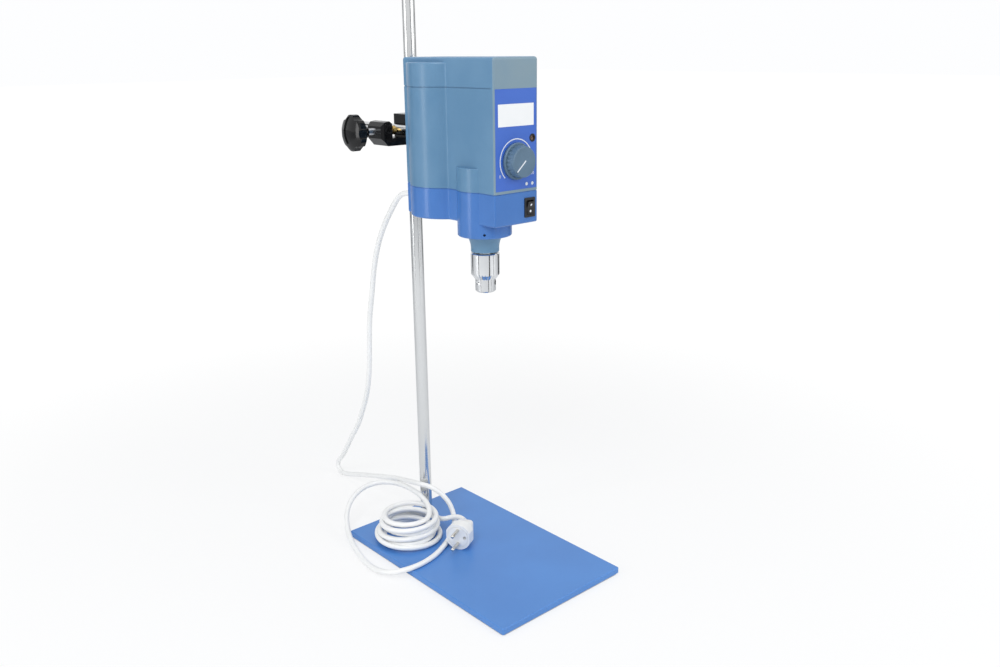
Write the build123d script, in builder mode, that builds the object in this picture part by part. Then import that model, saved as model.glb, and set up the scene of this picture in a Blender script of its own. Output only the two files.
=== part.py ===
from build123d import *
import os
from math import cos, pi, radians, sin, sqrt, tan

# Overhead stirrer on a plate stand, in millimetres.
# The origin is on the stand rod's axis at the level of the bench.
# +Z is up, -Y is towards the front of the head, +X is to the right seen from the front.

# Fits
fit_gap = 0.05            # a static piece in its seat
running_gap = 0.05        # a shaft in its bearing or a slide in its guide
touch_gap = 0.3           # a curved face that rests on a moving piece
skin = 0.02               # between two faces that only lie together

# Stand
plate_width = 200.0
plate_length = 316.0
plate_thickness = 8.0
plate_corner_radius = 2.0
plate_bevel = 1.0
rod_from_back = 44.0
mat_thickness = 2.0
mat_inset = 1.5
rod_diameter = 16.0
rod_length = 790.0
rod_bevel = 1.5
rod_bolt_diameter = 8.0
rod_bolt_head_diameter = 16.0
rod_bolt_length = 26.0
rod_bolt_socket = 5.0

# Boss head that joins the rod and the extension arm
arm_height = 552.0
arm_offset = 21.0
arm_diameter = 13.0
arm_length = 190.0
arm_behind_rod = 102.0
clamp_half_width = 15.0
clamp_height = 36.0
clamp_web_right = 6.5
clamp_web_left = 17.5
clamp_leg_thickness = 15.0
arm_channel = 28.0
arm_floor_gap = 2.0
clamp_floor = 9.0
rod_channel = 27.0
rod_bridge_gap = 1.2
rod_bridge = 9.0
clamp_screw_diameter = 8.0
clamp_screw_pitch = 1.25
clamp_pad_diameter = 11.0
clamp_pad_thickness = 5.0
clamp_tip_diameter = 5.0
clamp_tip_length = 2.8
bare_thread = 13.0
knob_hub_length = 14.0
knob_hub_diameter = 20.0
knob_head_thickness = 15.0
star_knob_diameter = 43.0
star_knob_lobes = 6
star_scallop_depth = 3.2
star_scallop_radius = 8.5

# Head
head_width = 64.0
head_depth = 158.0
head_offset = 18.5
head_back = 52.5
head_below_arm = 92.5
head_height = 179.0
lower_shell_height = 36.0
head_corner_radius = 2.0
head_top_round = 3.0
head_bottom_round = 2.0
wall = 2.5
floor_thickness = 3.0
drive_offset = 26.0
motor_back = 96.5
barrel_radius = 42.0
barrel_blend = 4.0
barrel_drop = 5.5
barrel_top_round = 1.5
parting_gap = 1.0
parting_gap_depth = 0.7
seam_rise = 147.0
seam_width = 1.2
seam_depth = 0.9
seam_stop = 4.5

# Spindle housing and drive
spindle_back = 165.0
neck_diameter = 62.0
neck_drop = 16.0
neck_bevel = 1.5
shoulder_height = 26.0
bearing_outer = 28.0
bearing_width = 8.0
bearing_spacing = 12.0
spindle_diameter = 12.0
nose_top_radius = 20.2
nose_bottom_radius = 16.3
nose_length = 18.5
nose_to_chuck = 1.9
nose_bore_radius = 9.0
spindle_pulley_radius = 20.0
motor_pulley_radius = 10.0
pulley_width = 10.0
belt_width = 8.0
belt_thickness = 1.5
motor_radius = 36.0
motor_length = 50.0
bracket_thickness = 3.0
motor_shaft_diameter = 6.0

# Keyed chuck
chuck_length = 45.7
chuck_nose_radius = 12.0
chuck_nose_length = 15.5
chuck_bevel_length = 5.2
chuck_sleeve_radius = 16.65
chuck_sleeve_wall = 1.25
chuck_bore_radius = 5.25
chuck_bore_depth = 30.0
chuck_teeth = 30
chuck_tooth_depth = 1.1
chuck_thread_radius = 5.0
chuck_thread_depth = 11.0
jaw_diameter = 4.8
jaw_lean = 14.0
jaw_height = 26.0
jaw_travel = 15.05
jaw_apex = 0.25
nut_height = 3.5
nut_start = 22.5
key_hole_diameter = 5.6
key_hole_height = 11.0

# Front panel and controls
panel_width = 60.5
panel_height = 107.5
panel_rise = 39.0
panel_thickness = 1.0
display_width = 52.0
display_height = 23.5
display_rise = 119.0
knob_rise = 70.0
knob_skirt_diameter = 40.0
knob_skirt_height = 3.0
knob_cap_diameter = 34.5
knob_cap_height = 13.0
knob_shaft_diameter = 6.0
pot_diameter = 16.0
pot_depth = 9.0
bushing_diameter = 9.0
trim_offset = 24.0
trim_rise = 93.5
trim_diameter = 8.8
trim_screw_diameter = 5.6
lamp_diameter = 4.0
lamp_rise = 44.0
lamp_offsets = (15.3, 24.0)
board_width = 50.0
board_thickness = 1.6
board_gap = 2.0
board_rise = 40.5
board_height = 102.5
switch_offset = 19.6
switch_rise = 17.5
switch_width = 16.0
switch_length = 22.0
switch_bezel = 1.2
switch_body_width = 13.4
switch_body_length = 19.4
switch_depth = 12.0
rocker_width = 9.6
rocker_length = 15.6
rocker_tilt = 9.0
rocker_pin_diameter = 2.0
rocker_pin_length = 1.2

# Fastening of the two housing shells
boss_diameter = 8.0
boss_height = 18.0
screw_diameter = 3.0
screw_head_diameter = 5.5
screw_head_height = 2.4

# Cord
cord_diameter = 7.0
gland_diameter = 14.0
gland_length = 8.0
gland_rise = 19.0
gland_offset = 36.0
coil_centre_x = -50.0
coil_centre_y = -27.0
coil_outer_radius = 48.0
coil_hole_radius = 21.0
coil_height = 36.0

# Derived places
plate_top = mat_thickness + plate_thickness
plate_mid_y = rod_from_back - plate_length / 2
rod_radius = rod_diameter / 2
arm_radius = arm_diameter / 2
arm_x = -arm_offset
head_x = -head_offset
head_bottom = arm_height - head_below_arm
head_top = head_bottom + head_height
parting_height = head_bottom + lower_shell_height
seam_height = head_bottom + seam_rise
panel_bottom = head_bottom + panel_rise
display_centre = head_bottom + display_rise
knob_height = head_bottom + knob_rise
trim_height = head_bottom + trim_rise
lamp_height = head_bottom + lamp_rise
board_bottom = head_bottom + board_rise
board_top = board_bottom + board_height
switch_height = head_bottom + switch_rise
gland_height = head_bottom + gland_rise
head_front_y = -head_back - head_depth
head_mid_y = -head_back - head_depth / 2
head_left_x = head_x - head_width / 2
drive_x = -drive_offset
motor_y = -motor_back
spindle_y = -spindle_back
neck_bottom = head_bottom - neck_drop
neck_radius = neck_diameter / 2
spindle_axis = Axis((drive_x, spindle_y, 0), (0, 0, 1))
motor_axis = Axis((drive_x, motor_y, 0), (0, 0, 1))
spindle_section = Plane(origin=(drive_x, spindle_y, 0), x_dir=(1, 0, 0), z_dir=(0, -1, 0))
motor_section = Plane(origin=(drive_x, motor_y, 0), x_dir=(1, 0, 0), z_dir=(0, -1, 0))
head_floor = head_bottom + floor_thickness

os.makedirs("parts", exist_ok=True)


def save(piece, name):
    """Names the finished piece and writes it."""
    piece.part.label = name
    export_step(piece.part, "parts/" + name + ".step")


# The stand

# The base plate is a flat steel slab with broken edges and a countersunk hole under the rod.
with BuildPart() as base_plate:
    with BuildSketch(Plane.XY.offset(mat_thickness)):
        with Locations((0, plate_mid_y)):
            RectangleRounded(plate_width, plate_length, plate_corner_radius)
    extrude(amount=plate_thickness)
    chamfer(base_plate.faces().sort_by(Axis.Z)[-1].edges(), plate_bevel)
    chamfer(base_plate.faces().sort_by(Axis.Z)[0].edges(), plate_bevel / 2)
    with BuildSketch(Plane.XZ):
        with BuildLine():
            Polyline(
                (0, mat_thickness - 1),
                (rod_bolt_head_diameter / 2 + fit_gap, mat_thickness - 1),
                (rod_bolt_head_diameter / 2 + fit_gap, mat_thickness + 0.6),
                (rod_bolt_diameter / 2 + fit_gap,
                 mat_thickness + 0.6 + (rod_bolt_head_diameter - rod_bolt_diameter) / 2),
                (rod_bolt_diameter / 2 + fit_gap, plate_top + 1),
                (0, plate_top + 1),
                close=True,
            )
        make_face()
    revolve(axis=Axis.Z, mode=Mode.SUBTRACT)
save(base_plate, "base_plate")

# A thin rubber sheet covers the underside, with a hole below the rod's screw.
with BuildPart() as plate_mat:
    with BuildSketch(Plane.XY):
        with Locations((0, plate_mid_y)):
            RectangleRounded(plate_width - 2 * mat_inset, plate_length - 2 * mat_inset, 4)
        Circle(rod_bolt_head_diameter / 2 + 2, mode=Mode.SUBTRACT)
    extrude(amount=mat_thickness)
save(plate_mat, "plate_mat")

# The rod stands on the plate and is tapped from below.
with BuildPart() as stand_rod:
    with BuildSketch(Plane.XY.offset(plate_top)):
        Circle(rod_radius)
    extrude(amount=rod_length)
    chamfer(stand_rod.faces().sort_by(Axis.Z)[-1].edges(), rod_bevel)
    with BuildSketch(Plane.XY.offset(plate_top)):
        Circle(rod_bolt_diameter / 2 + fit_gap)
    extrude(amount=rod_bolt_length - plate_thickness + 4, mode=Mode.SUBTRACT)
save(stand_rod, "stand_rod")

# A countersunk socket screw holds the rod from below.
with BuildPart() as rod_bolt:
    with BuildSketch(Plane.XZ):
        with BuildLine():
            Polyline(
                (0, mat_thickness + 0.1),
                (rod_bolt_head_diameter / 2, mat_thickness + 0.1),
                (rod_bolt_head_diameter / 2, mat_thickness + 0.6),
                (rod_bolt_diameter / 2,
                 mat_thickness + 0.6 + (rod_bolt_head_diameter - rod_bolt_diameter) / 2),
                (rod_bolt_diameter / 2, mat_thickness + rod_bolt_length - 1),
                (rod_bolt_diameter / 2 - 1, mat_thickness + rod_bolt_length),
                (0, mat_thickness + rod_bolt_length),
                close=True,
            )
        make_face()
    revolve(axis=Axis.Z)
    with BuildSketch(Plane.XY.offset(mat_thickness)):
        RegularPolygon(rod_bolt_socket / 2, 6, major_radius=False)
    extrude(amount=3.4, mode=Mode.SUBTRACT)
save(rod_bolt, "rod_bolt")

# The boss head

# One die-cast body holds two crossed channels.
# The arm lies in the left one, which opens upwards, and the rod in the right one, which opens forwards.
# Their shared web has a shallow V for each of them.
clamp_bottom = arm_height - arm_radius - arm_floor_gap - clamp_floor
web_left = -clamp_web_left
web_right = -clamp_web_right
arm_leg_right = web_left - arm_channel + (arm_offset - clamp_web_left)
arm_leg_left = arm_leg_right - clamp_leg_thickness
arm_leg_top = arm_height + 12
rod_leg_left = web_right + rod_channel
rod_leg_right = rod_leg_left + clamp_leg_thickness
rod_bridge_front = rod_radius + rod_bridge_gap
v_half = 60.0
arm_v_tip = arm_x + (arm_radius + running_gap) / sin(radians(v_half))
rod_v_tip = -(rod_radius + running_gap) / sin(radians(v_half))
screw_hole = clamp_screw_diameter / 2 + running_gap
clamp_line = Axis((0, 0, arm_height), (1, 0, 0))

with BuildPart() as clamp_body:
    with BuildSketch(Plane.XZ):
        with BuildLine():
            Polyline(
                (web_right, clamp_bottom),
                (web_right, clamp_bottom + clamp_height),
                (web_left + 1.5, clamp_bottom + clamp_height),
                (web_left, clamp_bottom + clamp_height - 1.5),
                (web_left, clamp_bottom + clamp_floor),
                (arm_leg_right, clamp_bottom + clamp_floor),
                (arm_leg_right, arm_leg_top - 3),
                (arm_leg_right - 4, arm_leg_top),
                (arm_leg_left + 4, arm_leg_top - 1),
                (arm_leg_left, arm_leg_top - 6),
                (arm_leg_left, clamp_bottom + 9),
                (arm_leg_left + 8, clamp_bottom),
                close=True,
            )
        make_face()
    extrude(amount=clamp_half_width, both=True)
    fillet(clamp_body.edges().filter_by(Axis.Y).group_by(Axis.Z)[0], 2.0)
    chamfer(
        clamp_body.faces().filter_by(Axis.Y).sort_by(Axis.Y)[0].edges().group_by(Axis.X)[0],
        3.0,
    )
    with BuildSketch(Plane.XY.offset(clamp_bottom)):
        with BuildLine():
            Polyline(
                (web_left, -clamp_half_width),
                (web_right, -clamp_half_width),
                (web_right, rod_bridge_front),
                (rod_leg_left, rod_bridge_front),
                (rod_leg_left, -clamp_half_width + 4),
                (rod_leg_left + 4, -clamp_half_width),
                (rod_leg_right - 3, -clamp_half_width),
                (rod_leg_right, -clamp_half_width + 3),
                (rod_leg_right, rod_bridge_front + rod_bridge - 7),
                (rod_leg_right - 7, rod_bridge_front + rod_bridge),
                (web_left + 3, rod_bridge_front + rod_bridge),
                (web_left, rod_bridge_front + rod_bridge - 3),
                close=True,
            )
        make_face()
    extrude(amount=clamp_height)
    fillet(clamp_body.edges().filter_by(Axis.Z).group_by(Axis.Y)[-1], 2.0)
    # The arm's V runs along the arm and the rod's V along the rod.
    with BuildSketch(Plane.XZ):
        with BuildLine():
            Polyline(
                (arm_v_tip, arm_height),
                (web_left - 0.01, arm_height + (arm_v_tip - web_left + 0.01) * tan(radians(v_half))),
                (web_left - 0.01, arm_height - (arm_v_tip - web_left + 0.01) * tan(radians(v_half))),
                close=True,
            )
        make_face()
    extrude(amount=60, both=True, mode=Mode.SUBTRACT)
    with BuildSketch(Plane.XY.offset(clamp_bottom - 1)):
        with BuildLine():
            Polyline(
                (rod_v_tip, 0),
                (web_right + 0.01, (web_right + 0.01 - rod_v_tip) * tan(radians(v_half))),
                (web_right + 0.01, -(web_right + 0.01 - rod_v_tip) * tan(radians(v_half))),
                close=True,
            )
        make_face()
    extrude(amount=clamp_height + 2, mode=Mode.SUBTRACT)
    # Each outer leg is tapped for its clamping screw.
    with BuildSketch(Plane.YZ.offset(arm_leg_left - 1)):
        with Locations((0, arm_height)):
            Circle(screw_hole)
    extrude(amount=clamp_leg_thickness + 2, mode=Mode.SUBTRACT)
    with BuildSketch(Plane.YZ.offset(rod_leg_left - 1)):
        with Locations((0, arm_height)):
            Circle(screw_hole)
    extrude(amount=clamp_leg_thickness + 2, mode=Mode.SUBTRACT)
save(clamp_body, "clamp_body")

# The two clamping screws press pads on the arm and on the rod.
arm_pad_face = arm_x - arm_radius - touch_gap
arm_pad_back = arm_pad_face - clamp_pad_thickness
with BuildPart() as arm_clamp_pad:
    with BuildSketch(Plane.XZ):
        with BuildLine():
            Polyline(
                (arm_pad_face, arm_height),
                (arm_pad_face, arm_height + clamp_pad_diameter / 2 - 0.8),
                (arm_pad_face - 0.8, arm_height + clamp_pad_diameter / 2),
                (arm_pad_back, arm_height + clamp_pad_diameter / 2),
                (arm_pad_back, arm_height + clamp_tip_diameter / 2 + running_gap),
                (arm_pad_back + clamp_tip_length + 0.2,
                 arm_height + clamp_tip_diameter / 2 + running_gap),
                (arm_pad_back + clamp_tip_length + 0.2, arm_height),
                close=True,
            )
        make_face()
    revolve(axis=clamp_line)
save(arm_clamp_pad, "arm_clamp_pad")

arm_screw_out = arm_leg_left - bare_thread - knob_hub_length
arm_screw_shoulder = arm_pad_back - 0.15
with BuildPart() as arm_clamp_screw:
    with BuildSketch(Plane.XZ):
        with BuildLine():
            Polyline(
                (arm_screw_out, arm_height),
                (arm_screw_out, arm_height + clamp_screw_diameter / 2),
                (arm_screw_shoulder - 0.8, arm_height + clamp_screw_diameter / 2),
                (arm_screw_shoulder, arm_height + clamp_screw_diameter / 2 - 0.8),
                (arm_screw_shoulder, arm_height + clamp_tip_diameter / 2),
                (arm_screw_shoulder + clamp_tip_length, arm_height + clamp_tip_diameter / 2),
                (arm_screw_shoulder + clamp_tip_length, arm_height),
                close=True,
            )
        make_face()
    revolve(axis=clamp_line)
save(arm_clamp_screw, "arm_clamp_screw")

# The star knob has a stepped hub, a lobed rim and a domed face.
hub_face = arm_leg_left - bare_thread
rim_start = hub_face - knob_hub_length + 3
rim_end = rim_start - knob_head_thickness + 4
star_radius = star_knob_diameter / 2
with BuildPart() as arm_clamp_knob:
    with BuildSketch(Plane.XZ):
        with BuildLine():
            Polyline(
                (arm_screw_out, arm_height),
                (arm_screw_out, arm_height + clamp_screw_diameter / 2),
                (hub_face, arm_height + clamp_screw_diameter / 2),
                (hub_face, arm_height + knob_hub_diameter / 2 - 3),
                (hub_face - 2, arm_height + knob_hub_diameter / 2 - 2),
                (rim_start + 3, arm_height + knob_hub_diameter / 2),
                (rim_start, arm_height + star_radius - 3),
                (rim_start - 2, arm_height + star_radius),
                (rim_end + 1.5, arm_height + star_radius),
                (rim_end, arm_height + star_radius - 2),
            )
            ThreePointArc(
                (rim_end, arm_height + star_radius - 2),
                (rim_end - 3.0, arm_height + star_radius * 0.52),
                (rim_end - 4, arm_height),
            )
            Line((rim_end - 4, arm_height), (arm_screw_out, arm_height))
        make_face()
    revolve(axis=clamp_line)
    with BuildSketch(Plane.YZ.offset(rim_start + 4)):
        with Locations((0, arm_height)):
            with PolarLocations(star_radius - star_scallop_depth + star_scallop_radius, star_knob_lobes):
                Circle(star_scallop_radius)
    extrude(amount=-knob_head_thickness - 6, mode=Mode.SUBTRACT)
save(arm_clamp_knob, "arm_clamp_knob")

# The rod's screw, pad and knob are the same parts turned to face the rod.
rod_pad_face = rod_radius + touch_gap
pad_mirror = Plane.YZ.offset((arm_pad_face + rod_pad_face) / 2)
with BuildPart() as rod_clamp_pad:
    add(mirror(arm_clamp_pad.part, about=pad_mirror, mode=Mode.PRIVATE))
save(rod_clamp_pad, "rod_clamp_pad")

rod_hub_face = rod_leg_right + bare_thread
rod_screw_shoulder = rod_pad_face + clamp_pad_thickness + 0.15
rod_screw_out = rod_hub_face + knob_hub_length
with BuildPart() as rod_clamp_screw:
    with BuildSketch(Plane.XZ):
        with BuildLine():
            Polyline(
                (rod_screw_out, arm_height),
                (rod_screw_out, arm_height + clamp_screw_diameter / 2),
                (rod_screw_shoulder + 0.8, arm_height + clamp_screw_diameter / 2),
                (rod_screw_shoulder, arm_height + clamp_screw_diameter / 2 - 0.8),
                (rod_screw_shoulder, arm_height + clamp_tip_diameter / 2),
                (rod_screw_shoulder - clamp_tip_length, arm_height + clamp_tip_diameter / 2),
                (rod_screw_shoulder - clamp_tip_length, arm_height),
                close=True,
            )
        make_face()
    revolve(axis=clamp_line)
save(rod_clamp_screw, "rod_clamp_screw")

knob_mirror = Plane.YZ.offset((hub_face + rod_hub_face) / 2)
with BuildPart() as rod_clamp_knob:
    add(mirror(arm_clamp_knob.part, about=knob_mirror, mode=Mode.PRIVATE))
save(rod_clamp_knob, "rod_clamp_knob")

# The extension arm is a plain round bar with broken ends.
with BuildPart() as extension_arm:
    with BuildSketch(Plane.XZ.offset(-arm_behind_rod)):
        with Locations((arm_x, arm_height)):
            Circle(arm_radius)
    extrude(amount=arm_length)
    chamfer(extension_arm.edges(), 1.0)
save(extension_arm, "extension_arm")
arm_front_y = arm_behind_rod - arm_length

# The head's housing

post_shift = head_width / 2 - wall - boss_diameter / 2 + 1
shell_posts = (
    (head_x - post_shift, head_front_y + 11.5),
    (head_x + post_shift, head_front_y + 20),
    (head_x - post_shift, -head_back - 7),
    (head_x + post_shift, -head_back - 7),
)
post_pilot = screw_diameter / 2 - 0.2
socket_radius = 10.0
socket_length = 40.0
switch_x = head_x + switch_offset
front_inner_y = head_front_y + wall
trim_x = head_x + trim_offset
lamp_spots = [(head_x + shift, lamp_height) for shift in lamp_offsets]
front_plane = Plane(origin=(0, head_front_y, 0), x_dir=(1, 0, 0), z_dir=(0, -1, 0))
inside_front = Plane(origin=(0, front_inner_y, 0), x_dir=(1, 0, 0), z_dir=(0, 1, 0))
back_inside = Plane(origin=(0, -head_back - wall, 0), x_dir=(1, 0, 0), z_dir=(0, -1, 0))


def shell_outline(inset):
    """Plan of the housing, inside its walls by an inset: a box with the motor's round barrel."""
    with BuildSketch(mode=Mode.PRIVATE) as outline:
        with Locations((head_x, head_mid_y)):
            RectangleRounded(head_width - 2 * inset, head_depth - 2 * inset, max(head_corner_radius - inset, 1.0))
        with Locations((drive_x, motor_y)):
            Circle(barrel_radius - inset)
        meets = outline.vertices().filter_by(
            lambda v: abs(sqrt((v.X - drive_x) ** 2 + (v.Y - motor_y) ** 2) - barrel_radius + inset) < 0.01
        )
        fillet(meets, barrel_blend + inset)
    return outline.sketch


# The upper shell carries the panel, the board and the socket of the arm.
with BuildPart() as upper_housing:
    with BuildSketch(Plane.XY.offset(parting_height)):
        add(shell_outline(0))
    extrude(amount=head_top - barrel_drop - parting_height)
    fillet(upper_housing.faces().sort_by(Axis.Z)[-1].edges(), barrel_top_round)
    with BuildSketch(Plane.XY.offset(parting_height)):
        with Locations((head_x, head_mid_y)):
            RectangleRounded(head_width, head_depth, head_corner_radius)
    extrude(amount=head_top - parting_height)
    fillet(upper_housing.faces().sort_by(Axis.Z)[-1].edges(), head_top_round)
    with BuildSketch(Plane.XY.offset(parting_height)):
        with Locations((drive_x, spindle_y)):
            Circle(neck_radius)
    extrude(amount=shoulder_height)
    fillet(
        upper_housing.edges().filter_by(GeomType.CIRCLE).filter_by(
            lambda e: abs(e.center(CenterOf.BOUNDING_BOX).Z - parting_height - shoulder_height) < 0.01
        ),
        1.0,
    )
    # The hollow follows the outline at one wall's distance.
    with BuildSketch(Plane.XY.offset(parting_height)):
        add(shell_outline(wall))
    extrude(amount=head_top - barrel_drop - parting_height - wall, mode=Mode.SUBTRACT)
    with BuildSketch(Plane.XY.offset(parting_height)):
        with Locations((head_x, head_mid_y)):
            RectangleRounded(head_width - 2 * wall, head_depth - 2 * wall, 1.0)
    extrude(amount=head_top - parting_height - wall, mode=Mode.SUBTRACT)
    # A seam line runs round the sides and the back, and stops before the front.
    with BuildSketch(Plane.XY.offset(seam_height - seam_width / 2)):
        with Locations((head_x, head_mid_y + seam_stop / 2 + 20)):
            Rectangle(head_width + 60, head_depth - seam_stop + 40)
        add(shell_outline(seam_depth), mode=Mode.SUBTRACT)
    extrude(amount=seam_width, mode=Mode.SUBTRACT)
    # Screw bosses reach up from the parting line.
    with BuildSketch(Plane.XY.offset(parting_height)):
        with Locations(*shell_posts):
            Circle(boss_diameter / 2)
    extrude(amount=boss_height)
    with BuildSketch(Plane.XY.offset(parting_height)):
        with Locations(*shell_posts):
            Circle(post_pilot)
    extrude(amount=boss_height - 2, mode=Mode.SUBTRACT)
    # The board stands on short posts behind the front wall.
    with BuildSketch(inside_front):
        with Locations((head_x, -(board_bottom + board_top) / 2)):
            with GridLocations(board_width - 6, board_top - board_bottom - 18, 2, 2):
                Circle(2.5)
    extrude(amount=board_gap)
    # The socket takes the arm through the back wall.
    with BuildSketch(back_inside.offset(-1)):
        with Locations((arm_x, arm_height)):
            Circle(socket_radius)
    extrude(amount=socket_length)
    with BuildSketch(back_inside.offset(-wall - 1)):
        with Locations((arm_x, arm_height)):
            Circle(arm_radius + running_gap)
    extrude(amount=socket_length + wall, mode=Mode.SUBTRACT)
    # The panel lies in a shallow recess, and the controls pass the front wall.
    with BuildSketch(front_plane):
        with Locations((head_x, panel_bottom + panel_height / 2)):
            Rectangle(panel_width + 2 * fit_gap, panel_height + 2 * fit_gap)
    extrude(amount=-panel_thickness, mode=Mode.SUBTRACT)
    with BuildSketch(front_plane):
        with Locations((head_x, display_centre)):
            Rectangle(display_width - 4, display_height - 4)
        with Locations((head_x, knob_height)):
            Circle(bushing_diameter / 2 + fit_gap)
        with Locations((trim_x, trim_height)):
            Circle(trim_diameter / 2 + fit_gap)
        with Locations(*lamp_spots):
            Circle(lamp_diameter / 2 + fit_gap)
    extrude(amount=-wall - 1, mode=Mode.SUBTRACT)
save(upper_housing, "upper_housing")

# The lower shell holds the spindle housing, which stands out at the left and below.
switch_cut = (switch_body_width + 2 * fit_gap, switch_body_length + 2 * fit_gap)
bearing_low = neck_bottom + 3.0
bearing_high = bearing_low + bearing_spacing
boss_top = bearing_high + bearing_width + 1.0
with BuildPart() as lower_housing:
    with BuildSketch(Plane.XY.offset(head_bottom)):
        add(shell_outline(0))
    extrude(amount=parting_height - skin - head_bottom)
    fillet(lower_housing.faces().sort_by(Axis.Z)[0].edges(), head_bottom_round)
    with BuildSketch(Plane.XY.offset(neck_bottom)):
        with Locations((drive_x, spindle_y)):
            Circle(neck_radius)
    extrude(amount=parting_height - skin - neck_bottom)
    fillet(lower_housing.faces().sort_by(Axis.Z)[0].edges(), neck_bevel)
    # A shadow gap runs round just below the parting line.
    with BuildSketch(Plane.XY.offset(parting_height - skin - parting_gap)):
        with Locations((head_x, head_mid_y)):
            Rectangle(head_width + 80, head_depth + 80)
        add(shell_outline(parting_gap_depth), mode=Mode.SUBTRACT)
        with Locations((drive_x, spindle_y)):
            Circle(neck_radius - parting_gap_depth, mode=Mode.SUBTRACT)
    extrude(amount=parting_gap + 1, mode=Mode.SUBTRACT)
    with BuildSketch(Plane.XY.offset(head_floor)):
        add(shell_outline(wall))
    extrude(amount=parting_height - head_floor, mode=Mode.SUBTRACT)
    with BuildSketch(Plane.XY.offset(head_floor)):
        with Locations((drive_x, spindle_y)):
            Circle(bearing_outer / 2 + 5)
    extrude(amount=boss_top - head_floor)
    with BuildSketch(Plane.XY.offset(head_floor - 1)):
        with Locations(*shell_posts):
            Circle(boss_diameter / 2)
    extrude(amount=parting_height - skin - head_floor + 1)
    # Two bearing seats with a land between them.
    with BuildSketch(spindle_section):
        with BuildLine():
            Polyline(
                (0, neck_bottom - 1),
                (bearing_outer / 2 + fit_gap, neck_bottom - 1),
                (bearing_outer / 2 + fit_gap, bearing_low + bearing_width),
                (bearing_outer / 2 - 2, bearing_low + bearing_width),
                (bearing_outer / 2 - 2, bearing_high),
                (bearing_outer / 2 + fit_gap, bearing_high),
                (bearing_outer / 2 + fit_gap, boss_top + 1),
                (0, boss_top + 1),
                close=True,
            )
        make_face()
    revolve(axis=spindle_axis, mode=Mode.SUBTRACT)
    # Screws come from below through the posts.
    with BuildSketch(Plane.XY.offset(head_bottom - 1)):
        with Locations(*shell_posts):
            Circle(screw_diameter / 2 + 0.2)
    extrude(amount=parting_height - head_bottom + 2, mode=Mode.SUBTRACT)
    with BuildSketch(Plane.XY.offset(head_bottom - 1)):
        with Locations(*shell_posts):
            Circle(screw_head_diameter / 2 + 0.2)
    extrude(amount=1 + screw_head_height + 1, mode=Mode.SUBTRACT)
    with BuildSketch(front_plane):
        with Locations((switch_x, switch_height)):
            Rectangle(*switch_cut)
    extrude(amount=-wall - 1, mode=Mode.SUBTRACT)
    with BuildSketch(back_inside.offset(-wall - 1)):
        with Locations((-gland_offset, gland_height)):
            Circle(cord_diameter / 2 + 1.5 + fit_gap)
    extrude(amount=wall + 2, mode=Mode.SUBTRACT)
    # A small radial hole near the neck's lower edge reaches the bearing seat.
    with BuildSketch(Plane(origin=(drive_x, spindle_y, neck_bottom + 5.0),
                           x_dir=(0.747, -0.665, 0), z_dir=(-0.665, -0.747, 0))):
        Circle(1.5)
    extrude(amount=neck_radius + 1, mode=Mode.SUBTRACT)
save(lower_housing, "lower_housing")

# Four identical screws hold the shells together.
with BuildPart() as housing_screws:
    with BuildSketch(Plane.XY.offset(head_bottom + 1)):
        with Locations(*shell_posts):
            Circle(screw_head_diameter / 2)
    extrude(amount=screw_head_height)
    with BuildSketch(Plane.XY.offset(head_bottom + 1)):
        with Locations(*shell_posts):
            Circle(post_pilot - 0.02)
    extrude(amount=parting_height - head_bottom + boss_height - 5)
    with BuildSketch(Plane.XY.offset(head_bottom + 1)):
        with Locations(*shell_posts):
            RegularPolygon(1.25, 6, major_radius=False)
    extrude(amount=1.4, mode=Mode.SUBTRACT)
save(housing_screws, "housing_screws")

# A turned flange on the back wall stiffens the arm's socket.
flange_radius = 17.0
flange_thickness = 5.0
back_plane = Plane(origin=(0, -head_back, 0), x_dir=(-1, 0, 0), z_dir=(0, 1, 0))
with BuildPart() as arm_flange:
    with BuildSketch(back_plane.offset(skin)):
        with Locations((-arm_x, arm_height)):
            Circle(flange_radius)
            Circle(arm_radius + running_gap, mode=Mode.SUBTRACT)
    extrude(amount=flange_thickness)
    fillet(
        arm_flange.faces().sort_by(Axis.Y)[-1].edges().sort_by(SortBy.RADIUS)[-1],
        1.5,
    )
    with Locations(back_plane.offset(flange_thickness + skin)):
        with Locations((-arm_x, arm_height)):
            with PolarLocations(flange_radius - 5, 4, start_angle=45):
                CounterBoreHole(1.6, 3.0, 2.6)
save(arm_flange, "arm_flange")

with BuildPart() as flange_screws:
    with BuildSketch(back_plane.offset(flange_thickness + skin - 2.55)):
        with Locations((-arm_x, arm_height)):
            with PolarLocations(flange_radius - 5, 4, start_angle=45):
                Circle(2.75)
    extrude(amount=2.3)
    with BuildSketch(back_plane.offset(flange_thickness + skin - 2.55)):
        with Locations((-arm_x, arm_height)):
            with PolarLocations(flange_radius - 5, 4, start_angle=45):
                Circle(1.5)
    extrude(amount=-(flange_thickness - 2.55))
save(flange_screws, "flange_screws")

# The drive

# Two shielded bearings carry the spindle.
with BuildPart() as spindle_bearings:
    for low in (bearing_low, bearing_high):
        with BuildSketch(spindle_section):
            with BuildLine():
                Polyline(
                    (spindle_diameter / 2 + running_gap, low),
                    (spindle_diameter / 2 + 2.4, low),
                    (spindle_diameter / 2 + 2.4, low + 0.6),
                    (bearing_outer / 2 - 2.2, low + 0.6),
                    (bearing_outer / 2 - 2.2, low),
                    (bearing_outer / 2, low),
                    (bearing_outer / 2, low + bearing_width),
                    (bearing_outer / 2 - 2.2, low + bearing_width),
                    (bearing_outer / 2 - 2.2, low + bearing_width - 0.6),
                    (spindle_diameter / 2 + 2.4, low + bearing_width - 0.6),
                    (spindle_diameter / 2 + 2.4, low + bearing_width),
                    (spindle_diameter / 2 + running_gap, low + bearing_width),
                    close=True,
                )
            make_face()
        revolve(axis=spindle_axis)
save(spindle_bearings, "spindle_bearings")

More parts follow.
